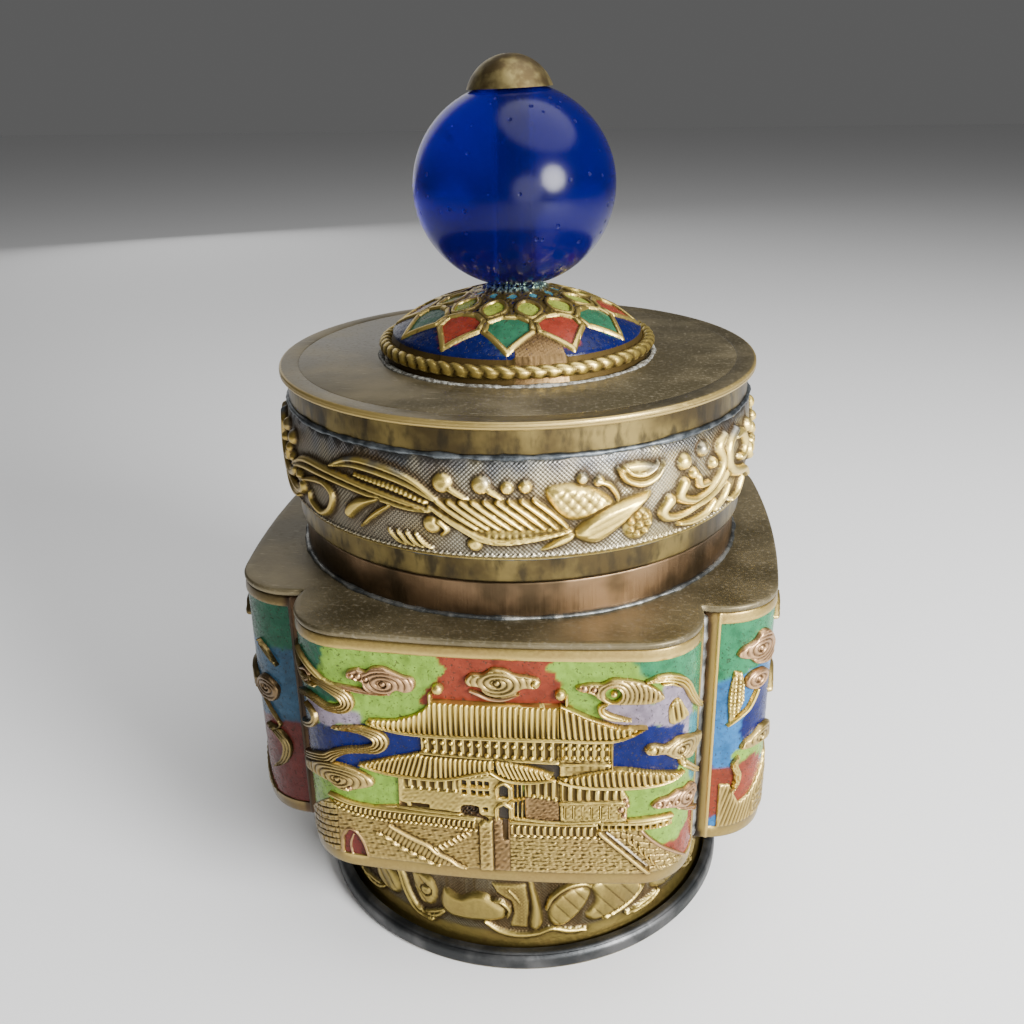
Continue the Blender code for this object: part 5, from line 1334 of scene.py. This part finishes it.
def phoenix(art, at):
    """A flying phoenix: tail feathers to the left, a ribbed wing, a scaled body and a leaf before it."""
    art.begin(at)

    def scales(x, y, inside):
        place = 2.3 * (x - at)
        return 0.22 * (np.abs(np.sin(place + 2.0 * y) * np.sin(place - 2.0 * y)) ** 0.5 - 1.0)

    def grooves(x, y, inside):
        return -0.12 * smooth(1.0 - np.abs(np.sin(3.6 * (y - 0.42 * (x - at)))) / 0.35)

    art.ribbon([(-33, 71.6, 0.3), (-28, 73.2, 1), (-21, 73.3, 0.9), (-14.6, 72.7, 0.8), (-10, 72, 0.7),
                (-7, 71.7, 0.35)], 2, 0.6)
    art.ribbon([(-22, 74.6, 0.2), (-18.1, 75.9, 0.75), (-13.9, 75.9, 0.9), (-9.6, 75, 0.8),
                (-6, 73.1, 0.35)], 2, 0.6)
    art.wire([(-17.6, 74.5, 0.3), (-12, 73.9, 0.5), (-7.3, 72.6, 0.35)], 0.5, beads=0.62)
    art.wire([(-30.5, 70.2, 0.2), (-26.5, 71.4, 0.4), (-23.4, 71.8, 0.5), (-21.8, 70.6, 0.5),
              (-22.9, 68.4, 0.55), (-25.1, 67.2, 0.55), (-27.4, 68, 0.5), (-27.6, 69.4, 0.25)], 0.55)
    art.plate([(-13.4, 72.2), (-17.3, 71.5), (-19.8, 69.3), (-18.9, 68.1), (-17.6, 69.2), (-16, 70.5)], 0.5,
              bevel=0.6, round_outline=True)
    art.wire([(-12, 71.7, 0.2), (-14.4, 70, 0.35), (-17, 67.7, 0.2)], 0.45)
    for k in range(4):
        art.wire([(-12.8 + 1.25 * k, 68.4, 0.15), (-11.6 + 1.2 * k, 67.2, 0.3),
                  (-10.2 + 1.1 * k, 66.6, 0.15)], 0.5)
    art.knobs([(-5.3, 75.3, 1.25), (-0.7, 75.3, 1.15), (2.3, 75, 0.8), (4.4, 75.1, 0.8), (-6.7, 69.9, 1.2),
               (-1.6, 67.7, 0.95), (11, 75.7, 0.75), (13, 75.2, 0.7)], 0.62, eye=0.12)
    art.wire([(-4.4, 74.6, 0.4), (-3.2, 73.9, 0.35), (-2.2, 73.4, 0.2)], 0.5)
    art.wire([(0.2, 74.6, 0.4), (1.2, 74, 0.35), (1.8, 73.5, 0.2)], 0.5)
    art.wire([(-5.8, 70.4, 0.45), (-4.9, 69.4, 0.35), (-5.6, 68.6, 0.2)], 0.5)
    art.plate([(-6.6, 72.2), (-5.6, 73.4), (5.6, 73.6), (10, 69.3), (4.8, 68.5), (0.3, 67.9), (-3.6, 70.1)],
              0.25, brackets(0.8, 0.8, 0.12), 0.5)
    for k in range(9):
        start = -6.0 + 1.42 * k
        art.wire([(start, 73.0 + 0.06 * k, 0.3), (start + 2.4, 71.4, 0.42),
                  (start + 4.7 - 0.12 * k, 69.9, 0.3)], 0.62)
    art.ribbon([(-7, 72.2, 0.2), (-3.8, 70.2, 0.4), (0.2, 68.2, 0.45), (4.8, 68.4, 0.4), (9.6, 69.2, 0.2)],
               2, 0.6)
    art.plate([(6.6, 74.6), (8.4, 75.3), (10.8, 75.1), (13.4, 73.9), (15, 72.1), (12.8, 70.8), (9.7, 70.6),
               (7.7, 71.9)], 0.75, scales, 1.2, round_outline=True)
    art.wire([(12.6, 75.2, 0.25), (14.2, 74.6, 0.35), (15.2, 73.2, 0.3), (15.3, 72.2, 0.15)], 0.55)
    art.plate([(9.7, 69), (12.4, 71.5), (15.6, 72.5), (19.9, 72.9), (18, 70.6), (14.8, 68.2), (12.8, 67.2),
               (10.9, 67.8)], 0.85, grooves, 1.1, round_outline=True)
    art.knob((18.2, 68.9), 2.1, 0.5)
    for k in range(7):
        turn = math.tau * k / 7
        art.knob((18.2 + 1.25 * math.cos(turn), 68.9 + 1.25 * math.sin(turn)), 0.5, 0.8)
    art.knob((18.2, 68.9), 0.55, 0.85)
    art.plate([(6, 66.9), (7.9, 68.5), (10, 69.1), (9.9, 68), (7.9, 67.1)], 0.55, bevel=0.5,
              round_outline=True)
    art.plate([(15.8, 76.6), (18.4, 76.8), (21.2, 75.9), (20.9, 75), (18.5, 73.9), (16.4, 74.9)], 0.5,
              bevel=0.4, round_outline=True)
    art.wire([(15.4, 76.4, 0.2), (16.4, 74.9, 0.42), (18.5, 74.1, 0.5), (20.4, 74.7, 0.42),
              (21.5, 76.2, 0.2)], 0.8)
    art.wire([(16.2, 76.4, 0.15), (17.2, 75.5, 0.32), (18.6, 75.2, 0.36), (19.9, 75.6, 0.32),
              (20.8, 76.4, 0.15)], 0.75)


def leaf_scroll(art, at, side):
    """Winding arms that end in curls and round berries."""
    art.begin(at, side)
    for x, y, radius in ((24.9, 75.4, 0.95), (28.2, 76.2, 0.85), (26.4, 73.6, 0.7), (30.2, 73.9, 0.7),
                         (41.6, 75.6, 0.9), (44.4, 74.4, 0.8)):
        art.knob((x, y), 1.15 * radius, 0.75)
    arms = [
        [(24.9, 72.6, 0.7), (24.2, 71.2, 0.6), (25.5, 70.3, 0.5), (27.4, 69.9, 0.45), (29.8, 70.6, 0.45),
         (31.9, 72.1, 0.5), (32.5, 73.6, 0.5), (31.6, 75.6, 0.6), (33.0, 76.8, 0.4)],
        [(22.6, 70.9, 0.75), (21.6, 69.7, 0.6), (22.6, 68.7, 0.5), (24.8, 68.5, 0.4), (27.4, 69.1, 0.45),
         (29.6, 69.5, 0.5), (31.8, 70.3, 0.45), (33.8, 71.6, 0.3)],
        [(36.4, 76.5, 0.45), (34.4, 75.2, 0.6), (34.1, 73.3, 0.65), (35.1, 71.6, 0.65), (37.8, 70.4, 0.6),
         (41.0, 69.6, 0.5), (43.2, 68.0, 0.3)],
        [(36.2, 75.6, 0.35), (38.6, 75.4, 0.6), (40.0, 73.6, 0.65), (39.2, 72.2, 0.6), (37.8, 72.4, 0.35)],
        [(27.2, 72.9, 0.45), (27.7, 71.7, 0.4), (29.3, 71.6, 0.3)],
        [(34.2, 69.8, 0.35), (33.4, 68.2, 0.5), (31.4, 67.2, 0.4)],
        [(30.9, 68.6, 0.4), (29.4, 67.3, 0.5), (26.8, 67.0, 0.45), (24.4, 67.4, 0.3)],
        [(39.4, 69.0, 0.4), (38.2, 67.2, 0.5), (36.0, 66.9, 0.3)],
        [(44.6, 72.6, 0.6), (43.2, 71.4, 0.5), (44.6, 70.2, 0.45), (47.6, 70.6, 0.4), (49.6, 72.6, 0.35)],
    ]
    for arm in arms:
        art.wire([(x, y, 1.3 * width) for x, y, width in arm], 0.72)


turn, height, drawing = unrolled(1440, 100, embossed_foot, embossed_high.z, BAND_GIRTH)
share = (height - embossed_foot) / (embossed_high.z - embossed_foot)
drawing.matting = smooth(np.minimum(share, 1.0 - share) / 0.06)
worn_silver = 0.35 + 0.6 * smooth(0.5 + 0.5 * np.cos(turn + 0.5) + 0.3 * ripple(drawing.x, height, 9.0, 3))
drawing.tint(drawing.matting * worn_silver, SILVERY)
half_girth = BAND_GIRTH / 2
for k in (-1, 0, 1):
    phoenix(drawing, k * half_girth)
    leaf_scroll(drawing, k * half_girth, 1.0)
    leaf_scroll(drawing, (k + 0.5) * half_girth + MIRRORED_SCROLL_START, -1.0)
# Painted shade: the colour darkens on the band's left and back.
drawing.tint(0.6 * smooth(0.5 - 1.3 * np.sin(turn + 0.75)), drawing.colour * SHADED_SIDE_TINT)
lit = smooth((turn + 0.55) / 0.8) * smooth((2.4 - turn) / 0.8)
drawing.colour *= 1.0 + 0.55 * lit[..., None]
greyed = 0.9 * smooth((height - embossed_high.z + 3.0 + 0.9 * ripple(drawing.x, height, 5.0, 6)) / 2.4)
drawing.tint(greyed, SOLDER_STAIN)
ticks = smooth(1.0 - np.abs(height - embossed_foot - 0.5) / 0.4)
drawing.height += ticks * 0.3 * np.abs(np.sin(math.pi * drawing.x / 0.8))
edge = smooth(np.minimum(share, 1.0 - share) / 0.05)
drawing.height = blurred(drawing.height, 1) * RELIEF_GAIN
back_height = np.linspace(embossed_high.z, band_high.z + SEAT_GAP, 6)
back_share = (back_height - embossed_foot) / (embossed_high.z - embossed_foot)
back_radius = np.append(embossed_face(back_share) - SHEET_THICKNESS, [band_high.x + SEAT_GAP] * 2)[:, None]
back_height = np.append(back_height, (back_height[-1], embossed_foot))[:, None]
band = sheet("lid_phoenix_band", round_rows(embossed_face(share) + edge * drawing.height, turn, height),
             round_rows(back_radius, turn[:1], back_height), True, drawing.values())
fitted(thinned(band, BAND_TRIANGLES), brass_finish, "lid_embossed_band")

upper_low, upper_high = measures("lid_upper_band")
UPPER_WALL = 0.9
dark_band = turned("lid_dark_band", eased([
    (upper_high.x - UPPER_WALL, upper_low.z, 0.1), (upper_high.x, upper_low.z, 0.1),
    (upper_high.x, upper_high.z + 0.2, 0.1), (upper_high.x - UPPER_WALL, upper_high.z + 0.2, 0.1)]))
fitted(dark_band, plain_brass, "lid_upper_band")

grey_blue = Finish("grey_blue_solder", "solder")
lumps = grey_blue.noise(1.6, 4.0)
blotched = grey_blue.mix(grey_blue.step(lumps, 0.4, 0.65), (0.045, 0.052, 0.058), (0.14, 0.155, 0.165))
grey_blue.shade(Metallic=0.85, Base_Color=blotched, Roughness=0.3 + lumps * 0.25,
                Normal=grey_blue.bump(lumps, 0.1))
solder_line("lid_upper_solder", upper_high.x + 0.05, embossed_high.z + 0.05, 0.42, 41, grey_blue, 0.9)
solder_line("lid_lower_solder", band_high.x, embossed_foot - 0.1, 0.2, 51, grey_blue)


# Disc
# A flat brass disc, soldered on the bands. A fine ring is scribed near its rounded edge, which has a painted
# highlight.

disc_low, disc_high = measures("lid_disc")
STEM_HOLE = 1.6
SCRIBED_RADIUS = 30.35
disc_finish = dusty_brass("dusty_disc", disc_high.x - 0.1)
disc = turned("lid_disc_plate", eased([
    (STEM_HOLE, disc_low.z, 0.0), (disc_high.x, disc_low.z, 0.32), (disc_high.x, disc_high.z, 0.42),
    (SCRIBED_RADIUS + 0.14, disc_high.z, 0.0), (SCRIBED_RADIUS, disc_high.z - 0.08, 0.0),
    (SCRIBED_RADIUS - 0.14, disc_high.z, 0.0), (STEM_HOLE, disc_high.z, 0.0)]), 256)
fitted(disc, disc_finish, "lid_disc")


# Dome
# A low cone of brass under the finial, with two rings of enamelled petals between raised outlines and a
# twisted rope round its edge. Green crumbs of corrosion lie at its neck.

dome_high = measures("lid_dome")[1]
DOME_SPREAD = 17.2
DOME_FLAT = 4.0
DOME_HOLE = 2.0
ROPE_THICKNESS = 0.9
ROPE_LAYS = 60
ROPE_SIDES = 16
PETALS = 12
PETAL_TURN = 2.0
HALF_PETAL = 180.0 / PETALS
DOME_TALL = dome_high.z - disc_high.z


def dome_height(reach):
    """The dome's face: steep round its flat middle, then a long cone that steepens at its edge."""
    share = np.clip((reach - DOME_FLAT) / (DOME_SPREAD - DOME_FLAT), 0.0, 1.0)
    return dome_high.z - DOME_TALL * (0.30 * share + 0.26 * share ** 3) - 0.06 * DOME_TALL * np.sqrt(share)


def petals_of(count, start, outline):
    """Outlines round the dome, from one given by distances out from the axis and to the side."""
    for k in range(count):
        about = math.radians(start) + k * math.tau / count
        yield k, [(r * math.sin(about + t / r), -r * math.cos(about + t / r)) for r, t in outline]


LEAF_PETAL = [(10.7, -1.1), (10.7, 1.1), (11.9, 2.9), (13.7, 3.1), (16.7, 0.0), (13.7, -3.1), (11.9, -2.9)]
SEED_PETAL = [(6.7, 0.0), (7.6, 1.2), (9.4, 1.6), (10.9, 0.0), (9.4, -1.6), (7.6, -1.2)]
DROP_PETAL = [(4.6, 0.0), (5.3, 0.6), (6.1, 0.0), (5.3, -0.6)]
TURQUOISE = (0.05, 0.16, 0.19)
VERDIGRIS = (0.16, 0.26, 0.18)
PETAL_BLUE = (0.002, 0.004, 0.04)
PETAL_GREEN = (0.016, 0.075, 0.038)
PETAL_RED = (0.15, 0.022, 0.012)
SEED_GREEN = (0.20, 0.24, 0.035)
PETAL_DEPTH = 0.4
BARE_REACH = 12.0
BARE_START = 4.0
BARE_END = 29.0
COLLAR_REACH = 11.9
CRUMB_REACH = 4.9
DOME_TRIANGLES = 56000


def dome_relief(art):
    """Raised outlines of the petals and seeds, a worn bare patch in front and a rim at the neck."""
    reach = np.hypot(art.x, art.y)
    turn = np.degrees(np.arctan2(art.x, -art.y))
    bare = smooth((reach - BARE_REACH) / 0.3)
    bare *= smooth((turn - BARE_START) / 2.0) * smooth((BARE_END - turn) / 2.0)
    hatch = np.abs(np.sin(math.tau * (art.x + 0.6 * art.y) / 0.7))
    hatch *= np.abs(np.sin(math.tau * (art.x - art.y) / 1.1))
    everywhere = np.ones(art.x.shape, bool)
    art.lay(everywhere, bare.ravel(), -0.08 * hatch.ravel() - 0.02, DULL_BRASS)
    collar = smooth((COLLAR_REACH - reach) / 0.3)
    art.lay(everywhere, collar.ravel(), (0.05 * ripple(art.x, art.y, 0.9, 4)).ravel() - 0.05, BRASS)
    for k, outline in petals_of(PETALS, PETAL_TURN, LEAF_PETAL):
        art.plate(outline, -PETAL_DEPTH, bevel=0.15)
        closed = outline + outline[:1]
        for start, end in zip(closed, closed[1:]):
            art.wire([(*start, 0.4), (*end, 0.4)], 0.26)
    for k, outline in petals_of(PETALS, PETAL_TURN + HALF_PETAL, SEED_PETAL):
        art.plate(outline, -PETAL_DEPTH, bevel=0.15, round_outline=True)
        art.wire([(x, y, 0.28) for x, y in outline + outline[:2]], 0.2)
    for k, outline in petals_of(PETALS, PETAL_TURN, DROP_PETAL):
        art.plate(outline, -PETAL_DEPTH, bevel=0.15, round_outline=True)
    crumbs = np.clip(ripple(art.x, art.y, 0.9, 8) + 0.7 * ripple(art.x, art.y, 0.5, 9), -0.2, 1.6)
    neck = smooth((CRUMB_REACH - reach) / 0.8) * smooth(crumbs + 0.6)
    art.lay(everywhere, neck.ravel(), 0.22 * crumbs.ravel(), VERDIGRIS)


def dome_enamel(art):
    """Red and green petals with cobalt between them, yellow-green seeds and small turquoise drops."""
    art.colour[:] = PETAL_BLUE
    for k, outline in petals_of(PETALS, PETAL_TURN, LEAF_PETAL):
        art.paint(outline, (PETAL_GREEN, PETAL_RED)[k % 2], 0.15)
    for k, outline in petals_of(PETALS, PETAL_TURN + HALF_PETAL, SEED_PETAL):
        art.paint(outline, SEED_GREEN, 0.15)
    for k, outline in petals_of(PETALS, PETAL_TURN, DROP_PETAL):
        art.paint(outline, TURQUOISE, 0.15)


def dome_grid(columns, rows):
    turn, reach = np.meshgrid(np.linspace(-math.pi, math.pi, columns, endpoint=False),
                              np.linspace(DOME_SPREAD, DOME_HOLE, rows))
    return turn, reach, Carving(reach * np.sin(turn), -reach * np.cos(turn))


turn, reach, drawing = dome_grid(880, 124)
drawing.height -= PETAL_DEPTH
dome_relief(drawing)
rope_radius = DOME_SPREAD + 1.2 * ROPE_THICKNESS
inner_radius = rope_radius - ROPE_THICKNESS - 0.3
foot = np.full((1, 1), disc_high.z + 0.05)
skirt = round_rows(rope_radius, turn[:1], foot)
face = round_rows(reach, turn, dome_height(reach) + drawing.height)
inner_reach = np.linspace(DOME_HOLE, inner_radius, 24)[:, None]
inner_rows = round_rows(inner_reach, turn[:1], dome_height(inner_reach) - SHEET_THICKNESS)
inside_foot = round_rows(inner_radius, turn[:1], foot)
values = {key: np.concatenate([value[:1], value]) for key, value in drawing.values().items()}
dome = sheet("petal_dome", np.concatenate([skirt, face]), np.concatenate([inner_rows, inside_foot]), True,
             values)
fitted(thinned(dome, DOME_TRIANGLES), brass_finish, "lid_dome")

turn, reach, drawing = dome_grid(300, 44)
dome_enamel(drawing)
level = dome_height(reach) - 0.1 + 0.02 * ripple(drawing.x, drawing.y, 1.2, 18)
ends = reach[::-len(reach) + 1]
petal_enamel = sheet("petal_dome_enamel", round_rows(reach, turn, level),
                     round_rows(ends, turn[:2], dome_height(ends) - 0.7), True,
                     {"colour": drawing.opaque()})
fitted(petal_enamel, enamel_finish)

rope_height = float(dome_height(DOME_SPREAD)) - 1.9 * ROPE_THICKNESS
turns = np.linspace(0.0, math.tau, 9 * ROPE_LAYS, endpoint=False)
bend = np.linspace(0.0, math.tau, ROPE_SIDES, endpoint=False)[:, None]
lay = np.abs(np.sin(0.5 * ROPE_LAYS * turns[None] + 1.2 * bend))
thickness = ROPE_THICKNESS - 0.35 * (1.0 - np.sqrt(lay))
rows = round_rows(rope_radius + thickness * np.cos(bend), turns[None], rope_height + thickness * np.sin(bend))
# The lay of the strands drives the brass finish: rubbing and a painted highlight on the strands, grime and
# painted shade between them.
rope_values = {"colour": np.ones(lay.shape + (4,)) * (*BRASS, 1.0), "proud": lay * 2.0 - 1.0,
               "matting": np.zeros(lay.shape)}
rope_values = {key: value[:-1] for key, value in rope_values.items()}
fitted(sheet("dome_rope", rows[:-1], rows[-1:], True, rope_values), brass_finish)

crust = Finish("pale_crust", "solder")
crumbs = crust.noise(0.5, 4.0)
chalky = crust.mix(crust.step(crumbs, 0.4, 0.6), (0.09, 0.082, 0.066), (0.28, 0.28, 0.25))
crust.shade(Metallic=0.3, Base_Color=chalky, Roughness=0.5 + crumbs * 0.3, Normal=crust.bump(crumbs, 0.15))
solder_line("rope_solder", rope_radius + 0.7, disc_high.z + 0.05, 0.42, 61, crust, 0.55)


# Finial
# A ball of blue glass, bored through, on a pin whose head is under the disc. A small hollow brass cap has
# slipped a little to one side on top.

bead_low, bead_high = measures("glass_bead")
BORE_RADIUS = 2.2
BEAD_HALF_HEIGHT = 12.95
BEAD_STEPS = 24
bead_centre = (bead_low.z + bead_high.z) / 2
limit = math.acos(BORE_RADIUS / bead_high.x)
profile = []
for k in range(2 * BEAD_STEPS + 1):
    bend = limit * (1.0 - k / BEAD_STEPS)
    profile.append((bead_high.x * math.cos(bend), bead_centre + BEAD_HALF_HEIGHT * math.sin(bend)))
bead = turned("glass_ball", profile, 96)
glass = Finish("cobalt_glass", "glass")
bubbles = glass.add("TexVoronoi", {"feature": "F1"}, {"Vector": glass.stretched(2.1), "Scale": 1.0},
                    out="Distance")
pits = glass.step(bubbles, 0.16, 0.06)
# Painted light: the blue turns lighter towards the ball's left, as light shining through that side.
across = glass.add("VectorMath", {"operation": "DOT_PRODUCT"}, {0: glass.stretched(1.0), 1: (1.0, 0.0, 0.0)},
                   out=1)
blue = glass.mix(glass.step(across, 3.0, -11.0), (0.003, 0.0012, 0.13), (0.012, 0.0008, 0.29))
glass.shade(Base_Color=blue, Roughness=0.17 + pits * 0.4 + glass.noise(5.0, 2.0) * 0.05, IOR=1.28,
            Specular_IOR_Level=0.12, Transmission_Weight=0.78, Normal=glass.bump(pits, -0.12))
fitted(bead, glass, "glass_bead")

stem_low, stem_high = measures("finial_stem")
STEM_RADIUS = 1.0
stem_shoulder = disc_low.z - 0.3
stem = turned("finial_pin", eased([
    (0.0, stem_low.z, 0.0), (stem_high.x, stem_low.z, 0.3), (stem_high.x, stem_shoulder, 0.1),
    (STEM_RADIUS, stem_shoulder, 0.0), (STEM_RADIUS, stem_high.z, 0.2), (0.0, stem_high.z, 0.0)]), 32, False)
fitted(stem, plain_brass, "finial_stem")

CAP_RADIUS = 5.6
CAP_HEIGHT = 4.1
CAP_WALL = 0.8
CAP_CLEARANCE = 0.4
CAP_SLIP = math.radians(-2.0)
CAP_STEPS = 16
rim_height = BEAD_HALF_HEIGHT * math.sqrt(1.0 - (CAP_RADIUS / bead_high.x) ** 2) + CAP_CLEARANCE
crown = (CAP_RADIUS ** 2 + CAP_HEIGHT ** 2) / (2 * CAP_HEIGHT)
outer = []
inner = []
for k in range(CAP_STEPS + 1):
    reach = CAP_RADIUS * math.sin(math.pi / 2 * k / CAP_STEPS)
    height = rim_height + CAP_HEIGHT - crown + math.sqrt(crown ** 2 - reach ** 2)
    outer.append((reach, height))
    inner.append((reach * (1.0 - CAP_WALL / CAP_RADIUS), max(height - CAP_WALL, rim_height)))
cap = turned("finial_brass_cap", outer + inner[::-1], 96, False)
cap.data.transform(Matrix.Translation((0, 0, bead_centre * MM)) @ Matrix.Rotation(CAP_SLIP, 4, "Y"))
cap_finish = Finish("worn_cap_brass", "brass")
patches = cap_finish.step(cap_finish.noise(2.6, 4.0), 0.4, 0.62)
dents = cap_finish.noise(1.2, 4.0)
cap_finish.shade(Metallic=0.9, Base_Color=cap_finish.mix(patches, (0.085, 0.06, 0.025), (0.22, 0.175, 0.07)),
                 Roughness=0.35 + dents * 0.2, Normal=cap_finish.bump(dents, 0.05))
fitted(cap, cap_finish, "finial_cap")


# Studio
# A pale floor, soft light from large panels and the view of the photograph.

bpy.ops.mesh.primitive_plane_add(size=4.0)
floor = bpy.context.active_object
floor.name = "studio_floor"
pale = bpy.data.materials.new("pale_floor")
pale.use_nodes = True
pale_inputs = pale.node_tree.nodes["Principled BSDF"].inputs
pale_inputs["Base Color"].default_value = (0.86, 0.86, 0.86, 1.0)
pale_inputs["Roughness"].default_value = 0.8
floor.data.materials.append(pale)

world = bpy.data.worlds.new("studio")
bpy.context.scene.world = world
world.use_nodes = True
world_inputs = world.node_tree.nodes["Background"].inputs
world_inputs["Color"].default_value = (1.0, 1.0, 1.0, 1.0)
world_inputs["Strength"].default_value = 0.11


def add_lamp(name, place, aim, size, watts):
    lamp = bpy.data.lights.new(name, "AREA")
    lamp.shape = "DISK"
    lamp.size = size
    lamp.energy = watts
    thing = bpy.data.objects.new(name, lamp)
    bpy.context.scene.collection.objects.link(thing)
    thing.location = place
    thing.rotation_euler = (Vector(aim) - Vector(place)).to_track_quat("-Z", "Y").to_euler()


add_lamp("window_right", (0.34, -0.28, 0.20), (0, 0, 0.06), 0.20, 6.4)
add_lamp("sky_above", (0.16, -0.02, 0.50), (0, 0, 0.06), 0.55, 2.9)
add_lamp("front_low", (0.20, -0.52, 0.12), (0, 0, 0.05), 0.32, 1.4)
add_lamp("window_behind", (-0.30, 0.60, 0.26), (0, 0, 0.07), 0.50, 0.6)

CAMERA_PLACE = (16.8, -145.4, 120.3)
CAMERA_PITCH = math.radians(23.02)
CAMERA_YAW = math.radians(-7.04)
CAMERA_ROLL = math.radians(-1.09)
FOCAL_PIXELS = 1060.0
FRAME_PIXELS = 1024.0
SENSOR = 36.0

view = bpy.data.cameras.new("view")
view.sensor_width = SENSOR
view.lens = FOCAL_PIXELS * SENSOR / FRAME_PIXELS
view.clip_start = 0.005
camera = bpy.data.objects.new("view", view)
bpy.context.scene.collection.objects.link(camera)
ahead = math.cos(CAMERA_PITCH)
forward = Vector((math.sin(CAMERA_YAW) * ahead, math.cos(CAMERA_YAW) * ahead, -math.sin(CAMERA_PITCH)))
level = Vector((math.cos(CAMERA_YAW), -math.sin(CAMERA_YAW), 0.0))
side = math.cos(CAMERA_ROLL) * level + math.sin(CAMERA_ROLL) * level.cross(forward)
axes = Matrix((side, side.cross(forward), -forward)).transposed().to_4x4()
camera.matrix_world = Matrix.Translation(Vector(CAMERA_PLACE) * MM) @ axes
bpy.context.scene.camera = camera
